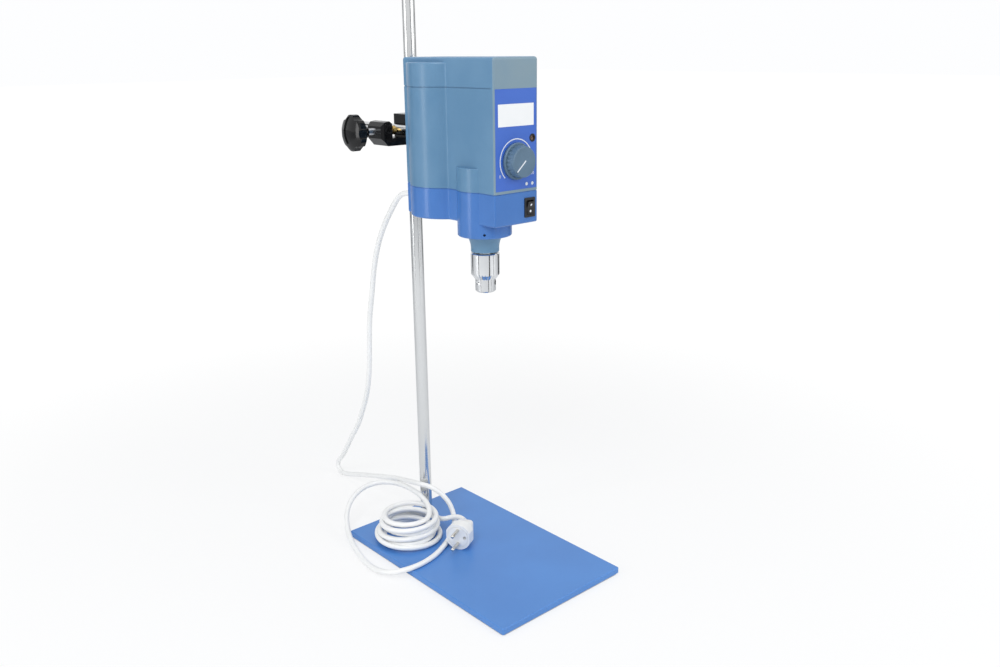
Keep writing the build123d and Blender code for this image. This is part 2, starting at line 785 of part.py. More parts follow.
# A small hollow cone closes the neck and flares in towards the chuck.
nose_top = neck_bottom - skin
with BuildPart() as spindle_nose:
    with BuildSketch(spindle_section):
        with BuildLine():
            Polyline(
                (nose_bore_radius, nose_top - nose_length),
                (nose_bottom_radius, nose_top - nose_length),
                (nose_bottom_radius, nose_top - nose_length + 1.5),
            )
            ThreePointArc(
                (nose_bottom_radius, nose_top - nose_length + 1.5),
                (nose_bottom_radius + 1.0, nose_top - nose_length * 0.42),
                (nose_top_radius, nose_top - 1),
            )
            Polyline(
                (nose_top_radius, nose_top - 1),
                (nose_top_radius, nose_top),
                (bearing_outer / 2, nose_top),
                (bearing_outer / 2, bearing_low - 0.2),
                (nose_bore_radius + 1, bearing_low - 0.2),
                (nose_bore_radius, nose_top - nose_length),
            )
        make_face()
    revolve(axis=spindle_axis)
save(spindle_nose, "spindle_nose")

# The spindle ends in a threaded stub for the chuck.
chuck_top = nose_top - nose_length - nose_to_chuck
chuck_nose = chuck_top - chuck_length
pulley_low = boss_top + 3.0
spindle_top = pulley_low + pulley_width + 4
with BuildPart() as spindle_shaft:
    with BuildSketch(spindle_section):
        with BuildLine():
            Polyline(
                (0, chuck_top - chuck_thread_depth + 0.5),
                (chuck_thread_radius, chuck_top - chuck_thread_depth + 0.5),
                (chuck_thread_radius, chuck_top),
                (nose_bore_radius - 1.0, chuck_top),
                (nose_bore_radius - 1.0, bearing_low - 1.5),
                (spindle_diameter / 2 + 1.5, bearing_low - 1.5),
                (spindle_diameter / 2 + 1.5, bearing_low - 0.1),
                (spindle_diameter / 2, bearing_low - 0.1),
                (spindle_diameter / 2, spindle_top - 0.6),
                (spindle_diameter / 2 - 0.6, spindle_top),
                (0, spindle_top),
                close=True,
            )
        make_face()
    revolve(axis=spindle_axis)
save(spindle_shaft, "spindle_shaft")


def pulley_corners(radius, bore, low):
    """Half section of a flanged belt pulley, as corners of radius and height."""
    high = low + pulley_width
    return [
        (bore, low),
        (radius + 1.8, low),
        (radius + 1.8, low + 0.7),
        (radius, low + 0.9),
        (radius, high - 0.9),
        (radius + 1.8, high - 0.7),
        (radius + 1.8, high),
        (bore, high),
    ]


with BuildPart() as spindle_pulley:
    with BuildSketch(spindle_section):
        with BuildLine():
            Polyline(
                *pulley_corners(spindle_pulley_radius, spindle_diameter / 2 + fit_gap, pulley_low),
                close=True,
            )
        make_face()
    revolve(axis=spindle_axis)
    with BuildSketch(Plane.XY.offset(pulley_low)):
        with Locations((drive_x, spindle_y)):
            with PolarLocations(spindle_pulley_radius - 7, 5):
                Circle(3.2)
    extrude(amount=pulley_width, mode=Mode.SUBTRACT)
save(spindle_pulley, "spindle_pulley")

# A snap ring keeps the pulley on the spindle.
with BuildPart() as snap_ring:
    with BuildSketch(Plane.XY.offset(pulley_low + pulley_width + skin)):
        with Locations((drive_x, spindle_y)):
            Circle(spindle_diameter / 2 + 2.6)
            Circle(spindle_diameter / 2 + fit_gap, mode=Mode.SUBTRACT)
            with Locations((0, spindle_diameter / 2 + 1)):
                Rectangle(3, 6, mode=Mode.SUBTRACT)
    extrude(amount=1.2)
save(snap_ring, "snap_ring")

motor_low = pulley_low + pulley_width + bracket_thickness + 2.0
with BuildPart() as motor_pulley:
    with BuildSketch(motor_section):
        with BuildLine():
            Polyline(
                *pulley_corners(motor_pulley_radius, motor_shaft_diameter / 2 + fit_gap, pulley_low),
                close=True,
            )
        make_face()
    revolve(axis=motor_axis)
save(motor_pulley, "motor_pulley")

# The belt is one closed loop round both pulleys.
with BuildPart() as drive_belt:
    with BuildSketch(Plane.XY.offset(pulley_low + (pulley_width - belt_width) / 2)):
        with Locations((drive_x, motor_y)):
            Circle(motor_pulley_radius + touch_gap + belt_thickness)
        with Locations((drive_x, spindle_y)):
            Circle(spindle_pulley_radius + touch_gap + belt_thickness)
        make_hull()
    extrude(amount=belt_width)
    with BuildSketch(Plane.XY.offset(pulley_low)):
        with Locations((drive_x, motor_y)):
            Circle(motor_pulley_radius + touch_gap)
        with Locations((drive_x, spindle_y)):
            Circle(spindle_pulley_radius + touch_gap)
        make_hull()
    extrude(amount=pulley_width, mode=Mode.SUBTRACT)
save(drive_belt, "drive_belt")

# A bent sheet bridge stands on the floor and carries the motor above the belt.
bracket_top = motor_low - skin
bridge_half = head_width / 2 - wall - 1.0
with BuildPart() as motor_bracket:
    with BuildSketch(Plane.XZ.offset(-motor_y)):
        with BuildLine():
            Polyline(
                (head_x - bridge_half, head_floor + skin),
                (head_x - bridge_half, bracket_top),
                (head_x + bridge_half, bracket_top),
                (head_x + bridge_half, head_floor + skin),
                (head_x + bridge_half - 2, head_floor + skin),
                (head_x + bridge_half - 2, bracket_top - bracket_thickness),
                (head_x - bridge_half + 2, bracket_top - bracket_thickness),
                (head_x - bridge_half + 2, head_floor + skin),
                close=True,
            )
        make_face()
    extrude(amount=motor_radius - 8, both=True)
    with BuildSketch(Plane.XY.offset(bracket_top - bracket_thickness - 1)):
        with Locations((drive_x, motor_y)):
            Circle(motor_pulley_radius + 3)
    extrude(amount=bracket_thickness + 2, mode=Mode.SUBTRACT)
save(motor_bracket, "motor_bracket")

motor_high = motor_low + motor_length
with BuildPart() as motor_can:
    with BuildSketch(Plane.XY.offset(motor_low)):
        with Locations((drive_x, motor_y)):
            Circle(motor_radius)
    extrude(amount=motor_length)
    fillet(motor_can.faces().sort_by(Axis.Z)[-1].edges(), 3.0)
    chamfer(motor_can.faces().sort_by(Axis.Z)[0].edges(), 1.0)
    with BuildSketch(Plane.XY.offset(motor_low - 1)):
        with Locations((drive_x, motor_y)):
            Circle(motor_shaft_diameter / 2 + running_gap)
    extrude(amount=motor_length - 6, mode=Mode.SUBTRACT)
save(motor_can, "motor_can")

with BuildPart() as motor_shaft:
    with BuildSketch(Plane.XY.offset(pulley_low - 0.5)):
        with Locations((drive_x, motor_y)):
            Circle(motor_shaft_diameter / 2)
    extrude(amount=motor_high - 8 - pulley_low)
    chamfer(motor_shaft.edges(), 0.4)
save(motor_shaft, "motor_shaft")

# The keyed chuck

# The jaws run in three leaning holes, and a nut inside the sleeve drives them.
# Their holes meet the spindle's axis below the chuck.
chuck_section = Plane(origin=(drive_x, spindle_y, chuck_nose), x_dir=(1, 0, 0), z_dir=(0, -1, 0))
jaw_radius = jaw_diameter / 2
lean = radians(jaw_lean)
jaw_spread = jaw_travel * sin(lean)
jaw_rise = jaw_travel * cos(lean)
jaw_face_open = chuck_bore_radius + 0.05
jaw_tip_axis = jaw_face_open + 0.1
jaw_root = jaw_tip_axis - jaw_rise * tan(lean)
jaw_reach = jaw_radius / cos(lean)
sleeve_inner = chuck_sleeve_radius - chuck_sleeve_wall
body_radius = sleeve_inner - running_gap
sleeve_start = chuck_nose_length
bevel_end = sleeve_start + chuck_bevel_length
nut_end = nut_start + nut_height


def jaw_edge(height):
    """Largest radius that the jaws reach at a height above the chuck's nose."""
    return jaw_root + height * tan(lean) + jaw_reach


with BuildPart() as chuck_body:
    with BuildSketch(chuck_section):
        with BuildLine():
            Polyline(
                (0, chuck_bore_depth),
                (chuck_bore_radius, chuck_bore_depth - 2),
                (chuck_bore_radius, 0.6),
                (chuck_bore_radius + 0.6, 0),
                (chuck_nose_radius - 1.5, 0),
                (chuck_nose_radius, 1.5),
                (chuck_nose_radius, nut_start - running_gap),
                (jaw_edge(nut_start) - 0.15, nut_start - running_gap),
                (jaw_edge(nut_end) - 0.15, nut_end + running_gap),
                (body_radius, nut_end + running_gap),
                (body_radius, chuck_length - 1),
                (body_radius - 1, chuck_length),
                (chuck_thread_radius + fit_gap, chuck_length),
                (chuck_thread_radius + fit_gap, chuck_length - chuck_thread_depth),
                (0, chuck_length - chuck_thread_depth),
                close=True,
            )
        make_face()
    revolve(axis=spindle_axis)
    for turn in (0, 120, 240):
        side = Vector(cos(radians(turn)), sin(radians(turn)), 0)
        run = Vector(side.X * sin(lean), side.Y * sin(lean), cos(lean))
        across = Vector(-side.Y, side.X, 0)
        start = Vector(drive_x, spindle_y, chuck_nose) + side * jaw_root - run * 3
        with BuildSketch(Plane(origin=start, x_dir=across, z_dir=run)):
            Circle(jaw_radius + running_gap)
        extrude(amount=3 + (jaw_rise + jaw_height) / cos(lean) + 1.5, mode=Mode.SUBTRACT)
    for turn in (60, 180, 300):
        side = Vector(cos(radians(turn)), sin(radians(turn)), 0)
        start = Vector(drive_x, spindle_y, chuck_nose + key_hole_height) + side * (chuck_nose_radius - 3.4)
        with BuildSketch(Plane(origin=start, x_dir=(0, 0, 1), z_dir=side)):
            Circle(key_hole_diameter / 2)
        extrude(amount=6, mode=Mode.SUBTRACT)
save(chuck_body, "chuck_body")

# The sleeve has a bevelled lower edge with teeth for the chuck key.
with BuildPart() as tooth_gap:
    slant = Vector(chuck_sleeve_radius - chuck_nose_radius - 0.8, 0, chuck_bevel_length)
    middle = Vector(chuck_nose_radius + 0.8, 0, sleeve_start) + slant * 0.5
    outward = Vector(chuck_bevel_length, 0, -slant.X).normalized()
    with BuildSketch(Plane(origin=middle, x_dir=outward, z_dir=slant)):
        with BuildLine():
            Polyline((-chuck_tooth_depth, 0), (1.5, 1.15), (1.5, -1.15), close=True)
        make_face()
    extrude(amount=chuck_bevel_length * 0.85, both=True)

with BuildPart() as chuck_sleeve:
    with BuildSketch(chuck_section):
        with BuildLine():
            Polyline(
                (chuck_nose_radius + running_gap, sleeve_start),
                (chuck_nose_radius + 0.8, sleeve_start),
                (chuck_sleeve_radius, bevel_end),
                (chuck_sleeve_radius, chuck_length - 1),
                (chuck_sleeve_radius - 1, chuck_length),
                (sleeve_inner, chuck_length),
                (sleeve_inner, nut_start - 0.05),
                (chuck_nose_radius + running_gap, nut_start - 0.05),
                close=True,
            )
        make_face()
    revolve(axis=spindle_axis)
    with Locations((drive_x, spindle_y, chuck_nose)):
        with PolarLocations(0, chuck_teeth):
            add(tooth_gap.part, mode=Mode.SUBTRACT)
save(chuck_sleeve, "chuck_sleeve")

with BuildPart() as chuck_nut:
    with BuildSketch(chuck_section):
        with BuildLine():
            Polyline(
                (jaw_edge(nut_start) + 0.08, nut_start),
                (sleeve_inner - skin, nut_start),
                (sleeve_inner - skin, nut_end),
                (jaw_edge(nut_end) + 0.08, nut_end),
                close=True,
            )
        make_face()
    revolve(axis=spindle_axis)
save(chuck_nut, "chuck_nut")

# Each jaw is a leaning round bar with an upright gripping edge, drawn back for the widest tool.
jaw_low = jaw_rise
wedge_apex = jaw_apex + jaw_spread
with BuildPart() as jaw_blank:
    with BuildSketch(Plane(origin=(jaw_root, 0, 0), x_dir=(0, 1, 0), z_dir=(sin(lean), 0, cos(lean)))):
        Circle(jaw_radius)
    extrude(amount=(jaw_low + jaw_height) / cos(lean) + 5)
    with BuildSketch(Plane.XY.offset(jaw_low)):
        with BuildLine():
            Polyline(
                (jaw_face_open, (jaw_face_open - wedge_apex) * tan(radians(60))),
                (wedge_apex + 8, 8 * tan(radians(60))),
                (30, 8 * tan(radians(60))),
                (30, -8 * tan(radians(60))),
                (wedge_apex + 8, -8 * tan(radians(60))),
                (jaw_face_open, -(jaw_face_open - wedge_apex) * tan(radians(60))),
                close=True,
            )
        make_face()
    extrude(amount=jaw_height, mode=Mode.INTERSECT)

with BuildPart() as chuck_jaw_1:
    with Locations(Location((drive_x, spindle_y, chuck_nose), (0, 0, 0))):
        add(jaw_blank.part)
save(chuck_jaw_1, "chuck_jaw_1")

with BuildPart() as chuck_jaw_2:
    with Locations(Location((drive_x, spindle_y, chuck_nose), (0, 0, 120))):
        add(jaw_blank.part)
save(chuck_jaw_2, "chuck_jaw_2")

with BuildPart() as chuck_jaw_3:
    with Locations(Location((drive_x, spindle_y, chuck_nose), (0, 0, 240))):
        add(jaw_blank.part)
save(chuck_jaw_3, "chuck_jaw_3")

# The front panel and its controls

with BuildPart() as front_panel:
    with BuildSketch(front_plane.offset(-panel_thickness + skin)):
        with Locations((head_x, panel_bottom + panel_height / 2)):
            RectangleRounded(panel_width, panel_height, 1.0)
        with Locations((head_x, display_centre)):
            Rectangle(display_width + 2 * fit_gap, display_height + 2 * fit_gap, mode=Mode.SUBTRACT)
        with Locations((head_x, knob_height)):
            Circle(bushing_diameter / 2 + fit_gap, mode=Mode.SUBTRACT)
        with Locations((trim_x, trim_height)):
            Circle(trim_diameter / 2 + fit_gap, mode=Mode.SUBTRACT)
        with Locations(*lamp_spots):
            Circle(lamp_diameter / 2 + fit_gap, mode=Mode.SUBTRACT)
    extrude(amount=panel_thickness - skin)
save(front_panel, "front_panel")

with BuildPart() as display_window:
    with BuildSketch(front_plane.offset(-panel_thickness + skin)):
        with Locations((head_x, display_centre)):
            Rectangle(display_width, display_height)
    extrude(amount=panel_thickness - skin)
save(display_window, "display_window")

# The board carries the display, the lamps and the two setters.
board_face_y = front_inner_y + board_gap + skin
board_front = Plane(origin=(0, board_face_y, 0), x_dir=(1, 0, 0), z_dir=(0, -1, 0))
with BuildPart() as circuit_board:
    with BuildSketch(board_front):
        with Locations((head_x, (board_bottom + board_top) / 2)):
            Rectangle(board_width, board_top - board_bottom)
        with Locations((head_x, knob_height)):
            Circle(bushing_diameter / 2 + fit_gap, mode=Mode.SUBTRACT)
    extrude(amount=-board_thickness)
save(circuit_board, "circuit_board")

with BuildPart() as display_module:
    with BuildSketch(board_front.offset(skin)):
        with Locations((head_x, display_centre)):
            Rectangle(display_width - 5, display_height - 5)
    extrude(amount=board_gap + wall - panel_thickness - 3 * skin)
save(display_module, "display_module")

with BuildPart() as speed_setter:
    with BuildSketch(board_front.offset(-board_thickness - skin)):
        with Locations((head_x, knob_height)):
            Circle(pot_diameter / 2)
    extrude(amount=-pot_depth)
    with BuildSketch(board_front.offset(-board_thickness - skin)):
        with Locations((head_x, knob_height)):
            Circle(bushing_diameter / 2)
    extrude(amount=board_thickness + board_gap + wall + 0.5)
    with BuildSketch(board_front.offset(-board_thickness - skin - pot_depth + 2)):
        with Locations((head_x, knob_height)):
            Circle(knob_shaft_diameter / 2 + running_gap)
    extrude(amount=30, mode=Mode.SUBTRACT)
save(speed_setter, "speed_setter")

with BuildPart() as knob_shaft:
    with BuildSketch(board_front.offset(-board_thickness - skin - pot_depth + 2.2)):
        with Locations((head_x, knob_height)):
            Circle(knob_shaft_diameter / 2)
    extrude(amount=(board_face_y + board_thickness + skin + pot_depth - 2.2)
            - (head_front_y - 11))
save(knob_shaft, "knob_shaft")

# The speed knob has a thin skirt, a ribbed cap and a groove that points at the scale.
knob_face = front_plane.offset(0.8)
knob_axis = Axis((head_x, 0, knob_height), (0, 1, 0))
knob_section = Plane(origin=(head_x, 0, knob_height), x_dir=(1, 0, 0), z_dir=(0, 0, 1))
knob_base_y = head_front_y - 0.8
with BuildPart() as speed_knob:
    with BuildSketch(knob_section):
        with BuildLine():
            Polyline(
                (knob_shaft_diameter / 2 + fit_gap, knob_base_y),
                (knob_skirt_diameter / 2, knob_base_y),
                (knob_skirt_diameter / 2, knob_base_y - knob_skirt_height + 1.2),
                (knob_skirt_diameter / 2 - 0.8, knob_base_y - knob_skirt_height),
                (knob_cap_diameter / 2 + 0.4, knob_base_y - knob_skirt_height),
                (knob_cap_diameter / 2 - 0.6, knob_base_y - knob_cap_height + 1),
                (knob_cap_diameter / 2 - 1.6, knob_base_y - knob_cap_height),
                (0, knob_base_y - knob_cap_height),
                (0, head_front_y - 11 - 0.2),
                (knob_shaft_diameter / 2 + fit_gap, head_front_y - 11 - 0.2),
                close=True,
            )
        make_face()
    revolve(axis=knob_axis)
    with BuildSketch(knob_face.offset(knob_skirt_height)):
        with Locations((head_x, knob_height)):
            with PolarLocations(knob_cap_diameter / 2 + 0.9, 24):
                Circle(1.3)
    extrude(amount=knob_cap_height, mode=Mode.SUBTRACT)
    with BuildSketch(knob_face.offset(knob_cap_height)):
        with Locations(Location((head_x, knob_height), -138)):
            with Locations((knob_cap_diameter / 4 + 1, 0)):
                Rectangle(knob_cap_diameter / 2 - 3.5, 1.2)
    extrude(amount=-0.7, mode=Mode.SUBTRACT)
save(speed_knob, "speed_knob")

# The second setter sits deep in a black bush and is turned with a screwdriver.
with BuildPart() as trim_bush:
    with BuildSketch(front_plane.offset(0.25)):
        with Locations((trim_x, trim_height)):
            Circle(trim_diameter / 2)
            Circle(trim_screw_diameter / 2 + running_gap, mode=Mode.SUBTRACT)
    extrude(amount=-(0.25 + wall + board_gap))
save(trim_bush, "trim_bush")

with BuildPart() as trim_screw:
    with BuildSketch(front_plane.offset(-1.2)):
        with Locations((trim_x, trim_height)):
            Circle(trim_screw_diameter / 2)
    extrude(amount=-(wall + board_gap - 1.2 - skin))
    with BuildSketch(front_plane.offset(-1.2)):
        with Locations((trim_x, trim_height)):
            Rectangle(trim_screw_diameter + 1, 0.9, rotation=35)
    extrude(amount=-0.9, mode=Mode.SUBTRACT)
save(trim_screw, "trim_screw")

# Two small lamps look out below the knob.
with BuildPart() as panel_lamps:
    with BuildSketch(front_plane.offset(0.2)):
        with Locations(*lamp_spots):
            Circle(lamp_diameter / 2)
    extrude(amount=-(0.2 + wall + board_gap))
    fillet(panel_lamps.faces().sort_by(Axis.Y)[0:2].edges(), 0.7)
save(panel_lamps, "panel_lamps")

# The mains switch snaps into the lower shell.
rocker_axis_y = head_front_y + 2.2
with BuildPart() as switch_frame:
    with BuildSketch(front_plane.offset(skin)):
        with Locations((switch_x, switch_height)):
            RectangleRounded(switch_width, switch_length, 1.2)
    extrude(amount=switch_bezel)
    chamfer(switch_frame.faces().sort_by(Axis.Y)[0].edges(), 0.5)
    with BuildSketch(front_plane.offset(skin)):
        with Locations((switch_x, switch_height)):
            Rectangle(switch_body_width, switch_body_length)
    extrude(amount=-(wall + switch_depth))
    with BuildSketch(front_plane.offset(skin + switch_bezel)):
        with Locations((switch_x, switch_height)):
            Rectangle(rocker_width + 2 * touch_gap, rocker_length + 2 * touch_gap)
    extrude(amount=-(switch_bezel + 8.0), mode=Mode.SUBTRACT)
    # The rocker's pins turn in two blind holes.
    with BuildSketch(Plane.YZ.offset(switch_x)):
        with Locations((rocker_axis_y, switch_height)):
            Circle(rocker_pin_diameter / 2 + running_gap)
    extrude(amount=rocker_width / 2 + rocker_pin_length + 0.2, both=True, mode=Mode.SUBTRACT)
save(switch_frame, "switch_frame")

# The rocker shows a shallow V across its face and stands with its lower half pressed in.
rocker_plane = Plane(
    origin=(switch_x, rocker_axis_y, switch_height),
    x_dir=(0, cos(radians(rocker_tilt)), sin(radians(rocker_tilt))),
    z_dir=(1, 0, 0),
)
half = rocker_length / 2 - 0.5
rise = 4.2
with BuildPart() as rocker:
    with BuildSketch(rocker_plane):
        with BuildLine():
            Polyline(
                (-rise + 0.4, 0),
                (-rise - 0.9, half - 0.6),
                (-rise - 0.3, half),
                (0.5, half - 0.4),
                (3.0, 2.0),
                (3.0, -2.0),
                (0.5, -half + 0.4),
                (-rise - 0.3, -half),
                (-rise - 0.9, -half + 0.6),
                close=True,
            )
        make_face()
    extrude(amount=rocker_width / 2, both=True)
    with BuildSketch(Plane.YZ.offset(switch_x)):
        with Locations((rocker_axis_y, switch_height)):
            Circle(rocker_pin_diameter / 2)
    extrude(amount=rocker_width / 2 + rocker_pin_length, both=True)
save(rocker, "rocker")

# The cord and its plug

gland_x = -gland_offset
with BuildPart() as cord_gland:
    with BuildSketch(back_plane.offset(skin)):
        with Locations((gland_offset, gland_height)):
            Circle(gland_diameter / 2)
    extrude(amount=2.5)
    with BuildSketch(back_plane.offset(skin)):
        with Locations((gland_offset, gland_height)):
            Circle(cord_diameter / 2 + 1.5)
    extrude(amount=-(wall + 3))
    with BuildSketch(back_plane.offset(2.5)):
        with Locations((gland_offset, gland_height)):
            Circle(cord_diameter / 2 + 2.2)
    extrude(amount=gland_length - 2.5, taper=8)
save(cord_gland, "cord_gland")

cord_radius = cord_diameter / 2
cord_start_y = -head_back + gland_length + skin
cord_points = [
    (gland_x, cord_start_y, gland_height),
    (gland_x, -27, gland_height),
    (-33.6, -10, 0.986 * gland_height),
    (-29.4, 10, 0.951 * gland_height),
    (-26.4, 34, 0.898 * gland_height),
    (-23.0, 56, 0.835 * gland_height),
    (-20.9, 71, 0.7615 * gland_height),
    (-18.6, 82, 0.684 * gland_height),
    (-17.8, 93, 0.6 * gland_height),
    (-16.0, 99.0, 0.515 * gland_height),
    (-15.9, 103.0, 0.431 * gland_height),
    (-14.0, 114.0, 0.36 * gland_height),
    (-12.0, 131.5, 0.293 * gland_height),
    (-8.4, 152.0, 0.228 * gland_height),
    (-6.0, 180.0, 0.161 * gland_height),
    (-1.6, 205.0, 0.096 * gland_height),
    (0.8, 225.0, 0.0565 * gland_height),
    (3.6, 238.6, 14.6),
    (2.6, 229.5, 2.6),
    (-0.6, 205.0, 7.6),
    (1.0, 165.0, 20.4),
    (-1.2, 118.0, 34.6),
    (-4.0, 70.0, 50.0),
    (-11.0, 30.0, 61.6),
    (-13.0, -2.0, 69.0),
    (-6.5, -17.5, 68.5),
    (3.6, -30.0, 59.0),
    (11.4, -38.0, 44.5),
    (14.0, -43.0, 29.5),
    (11.0, -49.0, 19.0),
    (1.5, -57.0, 13.8),
    (-14.0, -69.0, 13.6),
    (-36.0, -83.5, 13.7),
    (-60.0, -94.0, 13.6),
    (-84.0, -99.0, 13.7),
    (-105.0, -97.0, 13.4),
    (-121.0, -84.0, 9.0),
    (-128.0, -62.0, 5.0),
    (-127.0, -36.0, 4.0),
    (-121.0, -8.0, 4.6),
    (-113.0, 21.0, 7.4),
    (-103.0, 47.0, 14.5),
    (-88.0, 70.0, 26.0),
    (-68.0, 84.0, 36.0),
    (-45.0, 88.0, 43.0),
    (-25.0, 77.0, 48.0),
    (-14.5, 54.0, 51.5),
    (-13.0, 27.0, 54.0),
    (-14.8, 0.0, 55.0),
    (-18.5, -24.0, 52.6),
    (-26.0, -42.0, 49.4),
    (-37.0, -53.0, 45.5),
]


def corner_radii(points):
    """Gives each corner the largest arc that its two runs leave room for."""
    radii = []
    for before, here, after in zip(points, points[1:], points[2:]):
        first = Vector(*here) - Vector(*before)
        second = Vector(*after) - Vector(*here)
        turn = radians(first.get_angle(second))
        radii.append(0.45 * min(first.length, second.length) / tan(turn / 2))
    return radii


def cord_length(points, radii):
    """Length of the runs less what each arc saves."""
    total = sum((Vector(*b) - Vector(*a)).length for a, b in zip(points, points[1:]))
    for before, here, after, radius in zip(points, points[1:], points[2:], radii):
        turn = radians((Vector(*here) - Vector(*before)).get_angle(Vector(*after) - Vector(*here)))
        total -= radius * (2 * tan(turn / 2) - turn)
    return total


cord_radii = corner_radii(cord_points)
with BuildPart() as mains_cord:
    with BuildLine() as cord_path:
        FilletPolyline(*cord_points, radius=cord_radii)
    with BuildSketch(Plane(origin=cord_points[0], z_dir=cord_path.line % 0)):
        Circle(cord_radius)
    sweep()
save(mains_cord, "mains_cord")
print("cord radii", [round(r, 1) for r in cord_radii])
print("cord length", round(cord_length(cord_points, cord_radii), 1),
      "volume over section", round(mains_cord.part.volume / (pi * cord_radius ** 2), 1))

# The coil is the outer shape of the bundled turns, a soft ring that lies on the plate.
coil_half = (coil_outer_radius - coil_hole_radius) / 2
coil_middle = (coil_outer_radius + coil_hole_radius) / 2
coil_bottom = plate_top + skin
coil_section = Plane(origin=(coil_centre_x, coil_centre_y, coil_bottom), x_dir=(1, 0, 0), z_dir=(0, -1, 0))
with BuildPart() as cord_coil:
    with BuildSketch(coil_section):
        with Locations((coil_middle, coil_height / 2)):
            RectangleRounded(2 * coil_half, coil_height, coil_half * 0.72)
    revolve(axis=Axis((coil_centre_x, coil_centre_y, 0), (0, 0, 1)))
save(cord_coil, "cord_coil")

# A short run joins the coil to the plug.
plug_yaw = 207.5
plug_radius = 18.0
plug_length = 30.0
plug_face = Vector(-23.0, -97.5, plate_top + plug_radius + touch_gap)
plug_out = Vector(cos(radians(plug_yaw)), sin(radians(plug_yaw)), 0)
plug_side = Vector(-plug_out.Y, plug_out.X, 0)
plug_back = plug_face - plug_out * plug_length
lead_points = [
    (plug_back.X + 5.2, plug_back.Y + 10.6, plate_top + 22.0),
    (plug_back.X + 8.8, plug_back.Y + 22.0, plate_top + 21.0),
    (plug_back.X + 4.0, plug_back.Y + 35.0, plate_top + 18.5),
    (plug_back.X - 6.5, plug_back.Y + 44.0, plate_top + 17.0),
]
with BuildPart() as plug_lead:
    with BuildLine() as lead_path:
        FilletPolyline(*lead_points, radius=corner_radii(lead_points))
    with BuildSketch(Plane(origin=lead_points[0], z_dir=lead_path.line % 0)):
        Circle(cord_radius)
    sweep()
save(plug_lead, "plug_lead")

# The plug is a round grounded type whose grip turns the cord to one side.
plug_plane = Plane(origin=plug_face, x_dir=plug_side, z_dir=plug_out)
with BuildPart() as plug_body:
    with BuildSketch(plug_plane.offset(-14)):
        Circle(plug_radius)
        Rectangle(2 * plug_radius - 3.0, 3 * plug_radius, mode=Mode.INTERSECT)
    extrude(amount=14)
    with BuildSketch(plug_plane.offset(-14)):
        Circle(plug_radius - 0.4)
        Rectangle(2 * plug_radius - 3.4, 3 * plug_radius, mode=Mode.INTERSECT)
    with BuildSketch(plug_plane.offset(-plug_length)):
        RectangleRounded(plug_radius * 1.1, plug_radius * 1.25, 4)
    loft()
    with BuildSketch(plug_plane):
        with Locations((9.5, 0)):
            Circle(2.5)
    extrude(amount=-10, mode=Mode.SUBTRACT)
    with BuildSketch(plug_plane):
        Circle(plug_radius - 3.2)
        Circle(plug_radius - 4.2, mode=Mode.SUBTRACT)
    extrude(amount=-1.0, mode=Mode.SUBTRACT)
save(plug_body, "plug_body")

with BuildPart() as plug_pins:
    with BuildSketch(plug_plane.offset(skin)):
        with Locations((0, 9.5), (0, -9.5)):
            Circle(2.4)
    extrude(amount=19)
    fillet(plug_pins.faces().sort_by(Axis(tuple(plug_face), tuple(plug_out)))[-2:].edges(), 1.6)
save(plug_pins, "plug_pins")
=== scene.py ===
# %% [markdown]
# An overhead stirrer hangs on its stand: a slim grey-blue motor head, a keyed chuck under it, a black boss
# head behind it, a steel rod and a blue base plate with the cord's coil.
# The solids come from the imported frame, so every later piece is placed by asking the frame where a node is.

# %% Load the frame
import bpy
import bmesh
from math import cos, pi, radians, sin
from mathutils import Matrix, Vector


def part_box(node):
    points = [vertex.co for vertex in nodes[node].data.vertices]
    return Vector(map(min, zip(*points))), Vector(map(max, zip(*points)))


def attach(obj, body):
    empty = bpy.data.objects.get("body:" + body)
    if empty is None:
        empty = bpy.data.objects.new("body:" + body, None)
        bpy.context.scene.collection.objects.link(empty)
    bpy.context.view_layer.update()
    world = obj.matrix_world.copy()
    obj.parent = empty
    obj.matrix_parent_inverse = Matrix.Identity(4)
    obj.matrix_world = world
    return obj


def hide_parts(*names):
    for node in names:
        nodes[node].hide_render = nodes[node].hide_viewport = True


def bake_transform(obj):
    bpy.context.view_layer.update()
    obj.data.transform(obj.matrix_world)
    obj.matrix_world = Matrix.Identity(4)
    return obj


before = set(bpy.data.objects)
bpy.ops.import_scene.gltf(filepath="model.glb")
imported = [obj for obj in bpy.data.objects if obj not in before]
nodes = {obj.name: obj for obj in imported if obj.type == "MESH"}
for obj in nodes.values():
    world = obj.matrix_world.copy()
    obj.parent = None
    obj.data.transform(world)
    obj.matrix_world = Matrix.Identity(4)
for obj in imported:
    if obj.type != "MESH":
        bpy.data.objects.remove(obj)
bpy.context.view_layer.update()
mm = 0.001

# %% [markdown]
# The photograph is taken from the front left, a little above the head, with a lens of about 34 mm.
# The camera is set from its place and three angles: a turn to the right, a tilt down and a slight roll.
# A matrix from three axes is used here, because Euler angles would mix the roll into the tilt.

# %% Camera
yaw = radians(41.68)
tilt = radians(16.88)
roll = radians(0.61)
ahead = Vector((sin(yaw) * cos(tilt), cos(yaw) * cos(tilt), -sin(tilt)))
level = Vector((cos(yaw), -sin(yaw), 0.0))
down = ahead.cross(level)
right = cos(roll) * level + sin(roll) * down
up = -(cos(roll) * down - sin(roll) * level)
bpy.ops.object.camera_add(location=(-0.7202, -0.9689, 0.6475))
camera = bpy.context.object
camera.name = "camera"
turned = Matrix((right, up, -ahead)).transposed().to_4x4()
camera.matrix_world = Matrix.Translation(camera.location) @ turned
camera.data.lens = 33.9
camera.data.sensor_width = 36.0
bpy.context.scene.camera = camera
bpy.context.scene.view_settings.view_transform = "Standard"
print("camera looks along", [round(v, 3) for v in ahead])

# %% [markdown]
# Maths on a surface is easier to read as an expression than as a row of nodes.
# Signal wraps one output of a node, so that a + b or 1 - a adds a Math node by itself.
# Finish holds one material and adds every other kind of node through its method node.

# %% Shader maths


